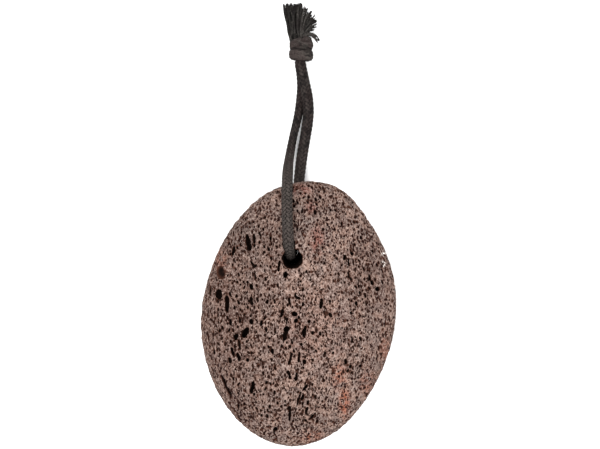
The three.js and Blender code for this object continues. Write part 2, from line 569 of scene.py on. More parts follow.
@dataclass(frozen=True)
class CordFinish:
    """Soft charcoal cotton with a mauve cast, painted shade between its yarns and fibres, dusty by
    the stone.

    Scales are in waves to the metre. The dust starts and is full at places along Y, in metres.
    """

    name: str = "charcoal_cotton"
    dark: Colour = (18, 16, 16)
    light: Colour = (49, 44, 42)
    mauve: Colour = (40, 32, 31)
    crevice_shade: Colour = (3, 3, 3)
    dust: Colour = (76, 70, 66)
    mauve_share: float = 0.6
    mauve_scale: float = 210.0
    fibre_scale: float = 3300.0
    mottle_scale: float = 1100.0
    dust_share: float = 0.55
    dust_start: float = 0.064
    dust_full: float = 0.046
    bump_depth: float = 0.08

    def make(self) -> bpy.types.Material:
        """Builds the material.

        Returns:
            The material, which reads the values relief, the mask of its painted shade, and shade,
            each yarn's tone.
        """
        g = Graph(self.name)
        yarn = g.mix(g.value("shade"), self.dark, self.light)
        hue = g.band(g.noise(self.mauve_scale, 2.0), 0.4, 0.62, 0.0, self.mauve_share)
        yarn = g.mix(hue, yarn, self.mauve)
        fibre = g.noise(self.fibre_scale, 3.0)
        mottle = g.band(g.noise(self.mottle_scale, 2.0), 0.52, 0.66, 0.0, 0.55)
        yarn = g.mix(mottle, yarn, self.light)
        y = g.add("ShaderNodeSeparateXYZ", {"Vector": g.coords}).outputs["Y"]
        by_stone = g.band(y, self.dust_start, self.dust_full)
        dusty = g.math("MULTIPLY", by_stone, g.band(fibre, 0.3, 0.6))
        yarn = g.mix(g.math("MULTIPLY", dusty, self.dust_share), yarn, self.dust)
        # Painted shade: near black between the fibres, and between the yarns where the relief is
        # low.
        yarn = g.mix(g.band(fibre, 0.55, 0.3, 0.0, 0.8), yarn, self.crevice_shade)
        colour = g.mix(g.band(g.value("relief"), 0.6, 0.05), yarn, self.crevice_shade)
        return g.finish(colour, 0.95, 0.04, g.bump(fibre, 0.7, self.bump_depth))


@dataclass(frozen=True)
class FloorFinish:
    """A plain pale surface with a barely uneven tone."""

    pale: Colour = (240, 240, 240)
    paler: Colour = (244, 244, 244)

    def make(self) -> bpy.types.Material:
        """Builds and returns the material."""
        g = Graph("pale_floor")
        return g.finish(g.mix(g.noise(6.0), self.pale, self.paler), 0.9, 0.1)


# ---------------------------------------------------------------------------------------------
# The stone
# ---------------------------------------------------------------------------------------------


class Tone(Enum):
    """Kinds of coloured patch on the stone, by the name of the value that carries them."""

    RUST = "rust"
    ROSE = "rose"
    ASH = "ash"
    UMBER = "umber"
    CHALK = "chalk"


@dataclass(frozen=True)
class Blob:
    """A soft-edged area of the front: its middle and half sizes in millimetres, its weight."""

    x: float
    y: float
    half_x: float
    half_y: float
    weight: float

    def share(self, x: Array, y: Array, fall: float, power: float) -> Array:
        """Returns weight * exp(-fall * r^(2 * power)), with r in half sizes from the middle."""
        far = ((x - self.x) / self.half_x) ** 2 + ((y - self.y) / self.half_y) ** 2
        return self.weight * np.exp(-fall * far**power)


# The coloured patches on the stone's front.
PATCHES: dict[Tone, tuple[Blob, ...]] = {
    Tone.RUST: (
        Blob(16.2, -31.5, 1.8, 4.6, 1.0), Blob(14.6, -22.0, 2.4, 4.2, 0.6),
        Blob(4.6, -43.7, 3.2, 2.2, 0.8), Blob(24.5, -24.5, 2.6, 4.0, 0.55),
        Blob(30.8, -12.9, 1.6, 5.0, 0.55), Blob(-28.0, 19.5, 2.2, 3.2, 0.55),
    ),
    Tone.ROSE: (
        Blob(0.2, 44.5, 3.6, 1.8, 0.8), Blob(4.2, 38.1, 1.7, 2.0, 0.9),
        Blob(6.3, 26.4, 2.2, 5.0, 0.9), Blob(6.0, -6.0, 12.0, 14.0, 0.16),
    ),
    Tone.ASH: (
        Blob(-19.0, 28.0, 8.0, 6.0, 0.6), Blob(2.0, 32.0, 5.0, 8.0, 0.4),
    ),
    # Broad soft patches that darken the skin towards brown.
    Tone.UMBER: (
        Blob(-28.1, 15.2, 2.0, 2.6, 0.8), Blob(-27.0, -6.0, 11.0, 26.0, 0.42),
        Blob(-20.0, -32.0, 10.0, 9.0, 0.28), Blob(-18.0, 26.0, 13.0, 12.0, 0.36),
        Blob(27.0, 12.0, 10.0, 20.0, 0.24),
    ),
    Tone.CHALK: (
        Blob(30.3, 18.0, 0.6, 1.0, 1.0), Blob(30.4, 21.7, 1.0, 0.9, 1.0),
        Blob(34.4, 10.7, 0.4, 0.7, 1.0), Blob(22.0, -12.2, 0.4, 0.5, 1.0),
    ),
}


@dataclass(frozen=True)
class Face:
    """One face of the stone, rising from the rim as a superellipse. Millimetres."""

    side: int
    depth: float
    thinning: float
    plan_power: float
    height_power: float
    wave: float


@dataclass(frozen=True)
class StoneForm:
    """The stone's outer shape before it is drilled, the same as the CAD solid's. Millimetres."""

    outline: tuple[tuple[float, float], ...] = (
        (34.9, 4.0), (32.6, 18.0), (26.2, 31.4), (16.4, 43.6), (6.1, 47.5), (-9.5, 44.5),
        (-21.9, 33.8), (-30.3, 19.4), (-34.9, 1.0), (-34.0, -14.0), (-28.4, -29.4), (-17.4, -42.2),
        (-3.0, -47.5), (12.0, -43.0), (24.6, -29.8), (32.8, -11.7),
    )
    rim_height: float = 11.5
    rim_climb: float = 0.045
    front: Face = Face(
        side=1, depth=14.0, thinning=0.05, plan_power=2.8, height_power=2.2, wave=0.5
    )
    back: Face = Face(
        side=-1, depth=12.4, thinning=0.055, plan_power=2.2, height_power=2.0, wave=0.3
    )
    wave_x: float = 54.0
    wave_y: float = 66.0
    wave_start: tuple[float, float] = (0.6, 1.1)

    def reach(self, x: Array, y: Array) -> Array:
        """Works out how far out places lie.

        Args:
            x: Places across, in millimetres.
            y: Places along, in millimetres.

        Returns:
            The distance from the middle, as a share of the outline's in that direction.
        """
        rim = through(self.outline, closed=True)
        angle = np.arctan2(rim[:, 1], rim[:, 0])
        order = np.argsort(angle)
        radius = np.hypot(rim[:, 0], rim[:, 1])[order]
        way = np.arctan2(y, x)
        return np.hypot(x, y) / np.interp(way, angle[order], radius, period=2 * np.pi)

    def depth(self, face: Face, x: Array, y: Array) -> Array:
        """Works out a face's greatest rise from the rim.

        Args:
            face: The face.
            x: Places across, in millimetres.
            y: Places along, in millimetres.

        Returns:
            The greatest rise, which thins towards +Y and waves gently.
        """
        start_x, start_y = self.wave_start
        across = np.sin(2 * np.pi * x / self.wave_x + start_x)
        wave = across * np.sin(2 * np.pi * y / self.wave_y + start_y)
        return face.depth - face.thinning * y + face.wave * wave

    def height(self, face: Face, x: Array, y: Array) -> Array:
        """Works out a face's surface height: rim + depth * (1 - reach^a)^(1/b).

        Args:
            face: The face.
            x: Places across, in millimetres.
            y: Places along, in millimetres.

        Returns:
            The heights, which are never under the flat base.
        """
        share = np.maximum(1.0 - self.reach(x, y) ** face.plan_power, 0.0)
        rise = face.side * self.depth(face, x, y) * share ** (1.0 / face.height_power)
        return np.maximum(self.rim_height + self.rim_climb * y + rise, 0.0)

    def front_at(self, x: float, y: float) -> tuple[float, Array]:
        """Looks at the front at one place, with small steps for its slope.

        Args:
            x: The place across.
            y: The place along.

        Returns:
            The front's height there, and its outward direction.
        """
        step = 0.3
        here, right, up = self.height(
            self.front, np.array([x, x + step, x]), np.array([y, y, y + step])
        )
        return here, unit(np.array([-((right - here) / step), -((up - here) / step), 1.0]))

    def excess(self, x: Array, y: Array, z: Array) -> Array:
        """Works out 1 - (reach^a + (rise / depth)^b), with the face of each place.

        Args:
            x: Places across, in millimetres.
            y: Places along, in millimetres.
            z: Heights, in millimetres.

        Returns:
            The excess, which is above 0 inside the stone.
        """
        out = self.reach(x, y)
        rise = z - (self.rim_height + self.rim_climb * y)
        both = []
        for face in (self.front, self.back):
            share = np.abs(rise) / self.depth(face, x, y)
            both.append(1.0 - out**face.plan_power - share**face.height_power)
        return np.where(rise >= 0, both[0], both[1])

    def inside(self, points: Array) -> Array:
        """Works out how deep points lie under the outer surface, about.

        The depth is the excess over its own slope, which is right near the surface, or the
        height over the flat base if that is less.

        Args:
            points: The points, in millimetres.

        Returns:
            Their depths, in millimetres.
        """
        x, y, z = points.T
        step = 0.05
        here = self.excess(x, y, z)
        slopes = [
            self.excess(x + step * a, y + step * b, z + step * c) - here
            for a, b, c in ((1, 0, 0), (0, 1, 0), (0, 0, 1))
        ]
        slope = np.sqrt(sum(s * s for s in slopes)) / step
        return np.minimum(here / np.maximum(slope, 1e-6), z)


@dataclass(frozen=True)
class Vesicle:
    """A big bubble cut open by the front: place, width and length in mm, lean in degrees."""

    x: float
    y: float
    width: float
    length: float
    lean: float = 0.0
    depth: float = 1.3


@dataclass(frozen=True)
class Bubbles:
    """How a big vesicle is made of overlapping bubbles, as shares of its own sizes."""

    places: tuple[float, ...] = (-0.5, 0.0, 0.5)
    reach: float = 0.8
    uneven: float = 0.06
    taper: float = 0.24
    length: float = 0.3
    sink: float = 0.15


@dataclass(frozen=True)
class PoreMix:
    """How the smaller pores are sized, turned and sunk.

    A width is a share of the distance between pores, and more where the foam is coarse. A
    length and a depth are shares of the width, and the lift of a pore's middle of the depth.
    The pores lean by degrees that climb with each millimetre of Y.
    """

    width: float = 0.38
    coarse_width: float = 0.16
    width_spread: float = 0.25
    widest: float = 0.78
    length: float = 1.5
    length_spread: float = 0.5
    longest: float = 2.8
    depth: tuple[float, float] = (1.0, 1.7)
    lift: tuple[float, float] = (-0.3, 0.12)
    lean: float = 3.0
    lean_climb: float = 0.22
    lean_spread: float = 14.0


@dataclass
class Block:
    """A box of cubes with a number at each corner: the distance inside the stone, in mm."""

    low: Array
    cube: float
    values: NDArray[np.float32]

    @property
    def axes(self) -> tuple[NDArray[np.float32], ...]:
        """Works out where the corners are.

        Returns:
            The places of the corners along each axis.
        """
        return tuple(
            (self.low[k] + self.cube * np.arange(self.values.shape[k])).astype(np.float32)
            for k in range(3)
        )

    def window(self, low: Array, high: Array) -> tuple[tuple[slice, ...], list[Array]]:
        """Finds the corners within a box.

        Args:
            low: The box's lowest corner.
            high: The box's highest corner.

        Returns:
            The slices of the values, and the places along each axis, ready to be combined.
        """
        start = np.maximum(np.floor((low - self.low) / self.cube).astype(int), 0)
        stop = np.ceil((high - self.low) / self.cube).astype(int) + 1
        stop = np.minimum(stop, self.values.shape)
        places = []
        for k in range(3):
            shape = [1, 1, 1]
            shape[k] = -1
            places.append((self.low[k] + self.cube * np.arange(start[k], stop[k])).reshape(shape))
        return tuple(slice(a, b) for a, b in zip(start, stop, strict=True)), places

    def cut_ellipsoid(self, middle: Array, axes: Array, half: Array) -> None:
        """Takes an ellipsoid out.

        With k the length of the offset over the half sizes, and m that over their squares,
        the distance outside it is about k (k - 1) / m.

        Args:
            middle: Its middle.
            axes: Its three directions, as rows.
            half: Its half sizes along them.
        """
        span = np.abs(axes.T) @ half + 2 * self.cube
        where, (x, y, z) = self.window(middle - span, middle + span)
        if self.values[where].size == 0:
            return
        x, y, z = x - middle[0], y - middle[1], z - middle[2]
        over, over_square = 0.0, 0.0
        for direction, size in zip(axes, half, strict=True):
            share = (direction[0] * x + direction[1] * y + direction[2] * z) / size
            over = over + share**2
            over_square = over_square + (share / size) ** 2
        k = np.sqrt(over)
        outside = k * (k - 1.0) / np.sqrt(over_square + 1e-12)
        np.minimum(self.values[where], outside, out=self.values[where], casting="unsafe")

    def cut_channel(self, path: Array, radius: float, margin: float = 1.5) -> None:
        """Takes a round channel out along a path, as the nearest distance to its points.

        Args:
            path: Points along the channel's middle.
            radius: Its radius.
            margin: How far past its wall the distances are worked out.
        """
        for point in path:
            where, (x, y, z) = self.window(point - radius - margin, point + radius + margin)
            if self.values[where].size == 0:
                continue
            gap = np.sqrt((x - point[0]) ** 2 + (y - point[1]) ** 2 + (z - point[2]) ** 2) - radius
            np.minimum(self.values[where], gap, out=self.values[where], casting="unsafe")

    def skin(self) -> tuple[Array, Faces]:
        """Wraps the solid in one surface (surface nets).

        Each cube with corners on both sides of the surface gets a vertex: the mean of the
        points where its edges cross the surface, each found by straight interpolation. Each
        edge of the block that crosses the surface gets a face from its four cubes.

        Returns:
            The vertices, and the quads facing out.
        """
        v = self.values
        solid = v > 0
        n = np.array(v.shape)
        corners = [(a, b, c) for a in (0, 1) for b in (0, 1) for c in (0, 1)]
        count = sum(
            solid[a : n[0] - 1 + a, b : n[1] - 1 + b, c : n[2] - 1 + c].astype(np.int8)
            for a, b, c in corners
        )
        cubes = np.argwhere((count > 0) & (count < 8))
        number = np.full(n - 1, -1, np.int32)
        number[tuple(cubes.T)] = np.arange(len(cubes), dtype=np.int32)
        total = np.zeros((len(cubes), 3))
        crossings = np.zeros((len(cubes), 1))
        for axis in range(3):
            for corner in corners:
                if corner[axis]:
                    continue
                near = cubes + np.array(corner)
                far = near.copy()
                far[:, axis] += 1
                a, b = v[tuple(near.T)], v[tuple(far.T)]
                crossed = (a > 0) != (b > 0)
                share = np.where(crossed, a / np.where(crossed, a - b, 1.0), 0.0)
                place = near.astype(float)
                place[:, axis] += share
                total += place * crossed[:, None]
                crossings += crossed[:, None]
        vertices = self.low + self.cube * total / crossings
        quads = []
        for axis in range(3):
            one, two = (axis + 1) % 3, (axis + 2) % 3
            near = [slice(1, -1)] * 3
            near[axis] = slice(0, -1)
            far = list(near)
            far[axis] = slice(1, None)
            inner, outer = solid[tuple(near)], solid[tuple(far)]
            for leaving in (True, False):
                edge = np.argwhere((inner & ~outer) if leaving else (~inner & outer))
                edge[:, one] += 1
                edge[:, two] += 1
                ring = []
                for back_one, back_two in ((1, 1), (0, 1), (0, 0), (1, 0)):
                    cube = edge.copy()
                    cube[:, one] -= back_one
                    cube[:, two] -= back_two
                    ring.append(number[tuple(cube.T)])
                quads.append(np.stack(ring if leaving else ring[::-1], axis=1))
        return vertices, np.vstack(quads).astype(np.int32)


def largest_shell(vertices: Array, faces: Faces) -> tuple[Array, Faces]:
    """Keeps the biggest connected surface and drops crumbs and sealed bubbles.

    Each vertex takes the lowest number among its neighbours', again and again, and each
    number is replaced by the number of the vertex that it names, until nothing changes.

    Args:
        vertices: The vertices.
        faces: The quads.

    Returns:
        The vertices and quads of the biggest shell.
    """
    label = np.arange(len(vertices))
    a, b = faces.ravel(), np.roll(faces, -1, axis=1).ravel()
    while True:
        before = label.copy()
        low = np.minimum(label[a], label[b])
        np.minimum.at(label, a, low)
        np.minimum.at(label, b, low)
        label = label[label]
        if np.array_equal(label, before):
            break
    keep = label == np.bincount(label).argmax()
    renumber = np.cumsum(keep) - 1
    return vertices[keep], renumber[faces[keep[faces[:, 0]]]].astype(np.int32)


@dataclass
class PumiceStone:
    """The drilled stone with its vesicles, one closed mesh. Sizes in millimetres.

    The room is half the block's width and length, and its height. The block holds distances up
    to the deepest, and no pore starts under the base margin. The lip behind the hole is between
    two heights. A wave of the hole's wall has its height, how many lobes it has round the hole,
    its turn for each millimetre up, and where it starts. Behind, from the back start under the
    rim, pores lie further apart by the back spacing, and coarseness is an even part and a swing.
    A small pore stays clear of a big one by shares of that one's width and length, and a gap.
    """

    form: StoneForm = field(default_factory=StoneForm)
    cube: float = 0.29
    room: Place = (36.0, 49.0, 27.5)
    deepest: float = 3.0
    base_margin: float = 0.4
    most_triangles: int = 196000
    hole_front: Place = (-2.3, 19.9, 25.0)
    hole_front_radius: float = 3.6
    hole_back: Place = (-2.5, 22.2, 0.0)
    hole_back_radius: float = 2.4
    hole_rounding: float = 0.5
    hole_lip: float = 1.35
    hole_lip_heights: tuple[float, float] = (4.0, 0.5)
    hole_waves: tuple[tuple[float, float, float, float], ...] = (
        (0.12, 3, 0.35, 0.0),
        (0.09, 7, -0.6, 1.0),
    )
    groove_radius: float = 2.25
    roughness: float = 0.06
    lump_height: float = 0.06
    lump_size: float = 1.7
    fine_spacing: float = 1.05
    coarse_spacing: float = 1.3
    back_spacing: float = 2.0
    back_start: float = 9.0
    back_coarse: float = 0.4
    back_swing: float = 0.3
    back_waves: tuple[float, float] = (9.0, 12.0)
    rim_blend: tuple[float, float] = (-2.0, 3.0)
    squeeze: float = 0.62
    pores: PoreMix = field(default_factory=PoreMix)
    bubbles: Bubbles = field(default_factory=Bubbles)
    clear_width: float = 0.35
    clear_length: float = 0.2
    clear_gap: float = 0.3
    patch_fall: float = 0.7
    patch_power: float = 1.5
    patch_blend: float = 1.0
    front_margin: float = 4.0
    back_triangles: int = 24000
    darts: int = 90000
    seed: int = 11
    zones: tuple[Blob, ...] = (
        Blob(-22, 2, 13, 30, 0.85), Blob(-16, -30, 11, 12, 0.7), Blob(-1, -8, 7, 14, 0.6),
        Blob(2, -33, 9, 9, 0.58), Blob(6, 40, 13, 8, 0.75), Blob(25, 12, 9, 12, 0.7),
        Blob(-14, 28, 12, 10, 0.7), Blob(24, -16, 8, 8, 0.35), Blob(17, 17, 3, 5, 0.4),
    )
    patches: dict[Tone, tuple[Blob, ...]] = field(default_factory=lambda: PATCHES)
    vesicles: tuple[Vesicle, ...] = tuple(
        Vesicle(*row)
        for row in (
            (-18.1, 25.8, 1.9, 5.7, 14), (-16.0, 27.1, 1.0, 3.2, 10),
            (-28.5, 7.1, 2.9, 4.3, 12, 1.0), (-25.7, 4.1, 1.7, 5.0, 4), (-31.7, 8.6, 1.3, 3.2, -8),
            (-23.5, 22.7, 1.3, 3.2, -8), (-28.1, 15.2, 3.9, 5.0, 18, 0.16),
            (-16.6, 17.9, 0.8, 2.6, 28), (-15.7, 14.2, 0.7, 2.9, 8), (-17.0, 5.7, 1.1, 1.6),
            (-17.1, 10.0, 1.4, 2.2), (-4.8, 14.4, 1.8, 2.9, -12), (-7.1, 17.5, 1.1, 3.6, -6),
            (-1.7, 0.4, 1.8, 1.4, -20), (7.9, 4.1, 1.2, 3.6, -4), (-3.5, 4.9, 0.9, 2.5, 6),
            (-0.6, 6.3, 1.0, 2.5, 62), (-6.1, 0.7, 1.1, 2.5, -10), (16.2, 20.4, 1.1, 2.2, -10),
            (18.8, 21.8, 1.4, 1.8), (17.7, 18.7, 0.8, 2.6, 4), (17.6, 14.4, 0.7, 2.3, 10),
            (25.1, 13.4, 1.1, 2.2, 6), (26.2, 11.2, 1.4, 1.8), (28.0, 9.2, 1.8, 1.8),
            (21.7, 7.9, 0.9, 1.1), (20.5, 3.9, 1.1, 1.8, 10), (-19.2, -6.2, 2.3, 4.0, -22),
            (-22.5, -7.9, 1.8, 2.9, -14), (-17.0, -2.5, 1.6, 2.3), (-24.5, -2.6, 1.1, 2.2, 8),
            (-21.2, -1.8, 0.8, 2.2, 4), (-13.5, -3.1, 1.0, 2.3, -8), (-21.3, -10.7, 0.9, 3.2, 6),
            (-23.7, -13.2, 1.3, 3.0, 24), (-21.6, -15.2, 1.5, 3.4, 20), (-18.4, -16.2, 1.3, 1.4),
            (-30.4, -13.6, 1.1, 1.8), (-27.9, -19.4, 0.9, 1.8, 12), (-24.8, -16.3, 1.1, 2.2, 10),
            (-4.9, -7.2, 1.4, 4.0, -16), (-4.4, -5.0, 2.1, 2.6, -4), (-1.3, -2.0, 1.4, 1.3),
            (1.9, -5.8, 1.4, 3.9, -6), (-4.3, -2.4, 0.8, 2.5, -8), (-2.5, -9.6, 0.9, 2.2, 10),
            (3.6, -2.4, 1.1, 1.1), (1.0, -10.5, 1.1, 1.3), (-9.5, -13.0, 1.4, 2.2, -10),
            (-3.0, -15.6, 0.8, 3.4, -14), (0.0, -15.2, 0.8, 3.2, -4), (2.0, -16.8, 1.1, 1.8, 8),
            (-3.4, -21.4, 1.1, 2.9, 22), (-0.9, -22.1, 1.1, 2.9, -14), (16.7, -16.7, 1.1, 2.2, 16),
            (22.0, -18.3, 1.1, 1.3), (18.4, -18.5, 1.0, 1.1), (18.9, -8.9, 0.8, 2.0),
            (22.0, -8.7, 0.8, 1.8, 14), (26.0, -6.0, 0.9, 1.2), (28.0, -15.4, 0.8, 2.5, -10),
            (-26.1, -25.9, 1.4, 7.0, 24), (-16.6, -25.9, 1.6, 4.3, -14), (-21.7, -32.8, 1.1, 1.6),
            (-23.1, -34.5, 0.8, 2.9, 40), (-21.3, -37.5, 1.8, 1.5, 30),
            (-8.5, -41.0, 1.4, 2.0, -24), (2.2, -25.8, 1.1, 2.5, -40),
            (-0.1, -30.1, 0.8, 4.3, -16), (1.3, -29.6, 1.1, 2.2, -20), (3.2, -31.5, 1.1, 2.2, -8),
            (-3.3, -35.4, 0.9, 4.3, -4), (2.7, -34.4, 0.9, 2.9, -10), (4.8, -36.3, 1.1, 1.8, -14),
            (2.4, -37.8, 0.9, 1.5, 10), (6.6, -38.2, 0.8, 1.7, -12),
        )
    )

    def build(self, route: Array) -> bpy.types.Object:
        """Builds the stone's mesh.

        Args:
            route: The cord's path, in metres, which has worn the hole's two mouths.

        Returns:
            The stone's object.
        """
        random = np.random.default_rng(self.seed)
        block, sites, normals = self._blank()
        self._bore(block, route / MM)
        self._foam(block, sites, normals, random)
        block.values += self.roughness * self._grit(block.values.shape, random)
        lumps = self.lump_height * self._lumps(block.values.shape, random)
        block.values += lumps
        vertices, faces = largest_shell(*block.skin())
        log.info("stone skin: %d faces before thinning", len(faces))
        vertices[:, 2] = np.maximum(vertices[:, 2], 0.0)
        stone = Surface(vertices * MM, [faces]).to_object("pumice_stone_porous")
        self._thin(stone)
        self._mark(stone.data, Block(block.low, block.cube, lumps))
        return stone

    def _blank(self) -> tuple[Block, Array, Array]:
        """Fills a block with the undrilled stone.

        Returns:
            The block, with points on its surface and the outward direction at each.
        """
        half_x, half_y, _ = self.room
        low = np.array([-half_x, -half_y, -0.5 * self.cube])
        shape = np.ceil((np.array(self.room) - low) / self.cube).astype(int)
        block = Block(low, self.cube, np.zeros(shape, np.float32))
        x, y, z = block.axes
        flat_x, flat_y = np.meshgrid(x, y, indexing="ij")
        excess = self.form.excess(flat_x[:, :, None], flat_y[:, :, None], z)
        slope = np.gradient(excess, self.cube)
        steep = np.maximum(np.sqrt(sum(s * s for s in slope)), 1e-6)
        body = np.clip(excess / steep, -self.deepest, self.deepest)
        base = np.broadcast_to(z[None, None, :], body.shape)
        block.values[:] = np.minimum(body, base)
        near = (np.abs(body) < 0.5 * self.cube) & (base > self.base_margin)
        outward = unit(-np.stack([s[near] for s in slope], axis=1))
        places = block.low + self.cube * np.argwhere(near)
        return block, places + body[near][:, None] * outward, outward

    def _bore(self, block: Block, route: Array) -> None:
        """Drills the hole, slanting and tapering to a lip behind, and wears the groove.

        Where the hole's wall and the stone's surface are nearer than the rounding r, a quarter
        of r (1 - difference / r)^2 is taken off, which rounds the hole's edges.

        Args:
            block: The block to cut.
            route: The cord's path, in millimetres.
        """
        x, y, z = block.axes
        share = z / self.hole_front[2]
        middle_x = self.hole_back[0] + share * (self.hole_front[0] - self.hole_back[0])
        middle_y = self.hole_back[1] + share * (self.hole_front[1] - self.hole_back[1])
        radius = self.hole_back_radius + share * (self.hole_front_radius - self.hole_back_radius)
        radius = radius - self.hole_lip * ease(z, *self.hole_lip_heights)
        dx, dy = x[:, None, None] - middle_x, y[None, :, None] - middle_y
        turn = np.arctan2(dy, dx)
        uneven = sum(
            height * np.sin(lobes * turn + climb * z + start)
            for height, lobes, climb, start in self.hole_waves
        )
        gap = np.hypot(dx, dy) - radius - uneven
        width = self.hole_rounding
        both = np.maximum(width - np.abs(block.values - gap), 0.0) / width
        block.values[:] = np.minimum(block.values, gap) - 0.25 * width * both**2
        block.cut_channel(route, self.groove_radius)

    def _coarseness(self, sites: Array) -> Array:
        """Works out how coarse the foam is.

        Args:
            sites: The places.

        Returns:
            How coarse it is, from 0 to 1: soft blobs on the front, waves behind.
        """
        x, y, z = sites.T
        front = np.zeros(len(sites))
        for zone in self.zones:
            front = np.maximum(front, zone.share(x, y, 1.0, 1.0))
        wave_x, wave_y = self.back_waves
        behind = self.back_swing * np.sin(x / wave_x + 1.3) * np.sin(y / wave_y + 0.4)
        behind = self.back_coarse + behind
        low, high = self.rim_blend
        share = ease(z, self.form.rim_height + low, self.form.rim_height + high)
        return np.clip(front * share + behind * (1.0 - share), 0.0, 1.0)

    def _spread(self, sites: Array, spacing: Array, random: Random) -> Array:
        """Picks sites that keep their distance, by throwing darts.

        The sites are taken in a shuffled order, and each is kept if no kept one lies nearer
        than its own spacing. A distance along Y counts for less, because the pores are long.

        Args:
            sites: The places to pick from.
            spacing: The least distance wanted at each.
            random: The source of random numbers.

        Returns:
            The numbers of the picked sites.
        """
        order = random.permutation(len(sites))[: self.darts]
        places = sites[order] * np.array([1.0, self.squeeze, 1.0])
        kept = np.empty_like(places)
        chosen: list[int] = []
        for number, place, gap in zip(order, places, spacing[order], strict=True):
            offset = kept[: len(chosen)] - place
            if not chosen or np.einsum("ij,ij->i", offset, offset).min() > gap * gap:
                kept[len(chosen)] = place
                chosen.append(number)
        return np.array(chosen)

    def _foam(self, block: Block, sites: Array, normals: Array, random: Random) -> None:
        """Opens the pores: the big ones, then the rest, spaced by how coarse the foam is.

        Args:
            block: The block to cut.
            sites: Places on the stone's surface.
            normals: The outward direction at each.
            random: The source of random numbers.
        """
        for big in self.vesicles:
            self._open_big(block, big, random)
        rough = self._coarseness(sites)
        spacing = self.fine_spacing + (self.coarse_spacing - self.fine_spacing) * rough
        rim = self.form.rim_height
        behind = 1.0 - ease(sites[:, 2], rim - self.back_start, rim)
        spacing = spacing * (1.0 + (self.back_spacing - 1.0) * behind)
        picked = self._spread(sites, spacing, random)
        middles = np.array([[big.x, big.y] for big in self.vesicles])
        sizes = np.array(
            [self.clear_width * b.width + self.clear_length * b.length for b in self.vesicles]
        )
        gap = np.linalg.norm(sites[picked][:, None, :2] - middles[None], axis=2) - sizes
        picked = picked[(gap.min(axis=1) > self.clear_gap) | (sites[picked][:, 2] < rim)]
        self._open_many(block, sites[picked], normals[picked], spacing[picked], random)

    def _open_many(
        self, block: Block, sites: Array, normals: Array, spacing: Array, random: Random
    ) -> None:
        """Opens a pore at each site: a long bubble, sized by its distance to the next.

        Args:
            block: The block to cut.
            sites: Where the pores open.
            normals: The outward direction at each site.
            spacing: The distance between pores at each site.
            random: The source of random numbers.
        """
        count, mix = len(sites), self.pores
        wide = mix.width + mix.coarse_width * self._coarseness(sites)
        width = spacing * wide * np.exp(mix.width_spread * random.standard_normal(count))
        width = np.minimum(width, mix.widest * spacing)
        long = mix.length + mix.length_spread * np.abs(random.standard_normal(count))
        length = width * np.clip(long, 1.0, mix.longest)
        deep = width * random.uniform(*mix.depth, count)
        stray = random.normal(0, mix.lean_spread, count)
        lean = np.radians(mix.lean + mix.lean_climb * sites[:, 1] + stray)
        wanted = np.stack([-np.sin(lean), np.cos(lean), np.zeros(count)], axis=1)
        along = unit(wanted - np.sum(wanted * normals, axis=1, keepdims=True) * normals)
        across = np.cross(along, normals)
        middles = sites + normals * (random.uniform(*mix.lift, count) * deep)[:, None]
        axes = np.stack([across, along, normals], axis=1)
        half = np.stack([0.5 * width, 0.5 * length, deep], axis=1)
        for middle, turn, size in zip(middles, axes, half, strict=True):
            block.cut_ellipsoid(middle, turn, size)
        log.info("stone: %d pores", count)

    def _open_big(self, block: Block, big: Vesicle, random: Random) -> None:
        """Opens a big vesicle as overlapping bubbles along its length.

        Args:
            block: The block to cut.
            big: The vesicle.
            random: The source of random numbers.
        """
        lean, mix = np.radians(big.lean), self.bubbles
        along = np.array([-np.sin(lean), np.cos(lean), 0.0])
        spare = max(big.length - big.width, 0.0)
        for share in mix.places:
            place = np.array([big.x, big.y]) + along[:2] * (share * spare * mix.reach)
            place = place + random.normal(0, mix.uneven, 2) * big.width
            height, normal = self.form.front_at(*place)
            lengthwise = unit(along - (along @ normal) * normal)
            axes = np.stack([np.cross(lengthwise, normal), lengthwise, normal])
            narrow = big.width * (0.5 - mix.taper * abs(share) * random.random())
            half = np.array([narrow, max(narrow, mix.length * big.length), big.depth * big.width])
            middle = np.array([*place, height]) - mix.sink * half[2] * normal
            block.cut_ellipsoid(middle, axes, half)

    def _grit(self, shape: tuple[int, ...], random: Random) -> NDArray[np.float32]:
        """Makes smooth noise: random numbers averaged with their neighbours twice.

        Args:
            shape: The block's shape.
            random: The source of random numbers.

        Returns:
            Noise with a spread of 1.
        """
        noise = random.standard_normal(shape).astype(np.float32)
        for _ in range(2):
            for axis in range(3):
                noise = (np.roll(noise, 1, axis) + 2 * noise + np.roll(noise, -1, axis)) / 4
        return noise / noise.std()

    def _lumps(self, shape: tuple[int, ...], random: Random) -> NDArray[np.float32]:
        """Makes gentle lumps: random numbers on a wide grid, joined by smooth steps.

        Args:
            shape: The block's shape.
            random: The source of random numbers.

        Returns:
            Lumps with a spread of 1.
        """
        every = self.lump_size / self.cube
        wide = random.standard_normal([int(n / every) + 2 for n in shape]).astype(np.float32)
        for axis, count in enumerate(shape):
            place = np.arange(count) / every
            start = place.astype(int)
            share = ease(place - start, 0.0, 1.0).astype(np.float32)
            spread = [1, 1, 1]
            spread[axis] = count
            share = share.reshape(spread)
            near, far = np.take(wide, start, axis), np.take(wide, start + 1, axis)
            wide = near * (1.0 - share) + far * share
        return wide / wide.std()

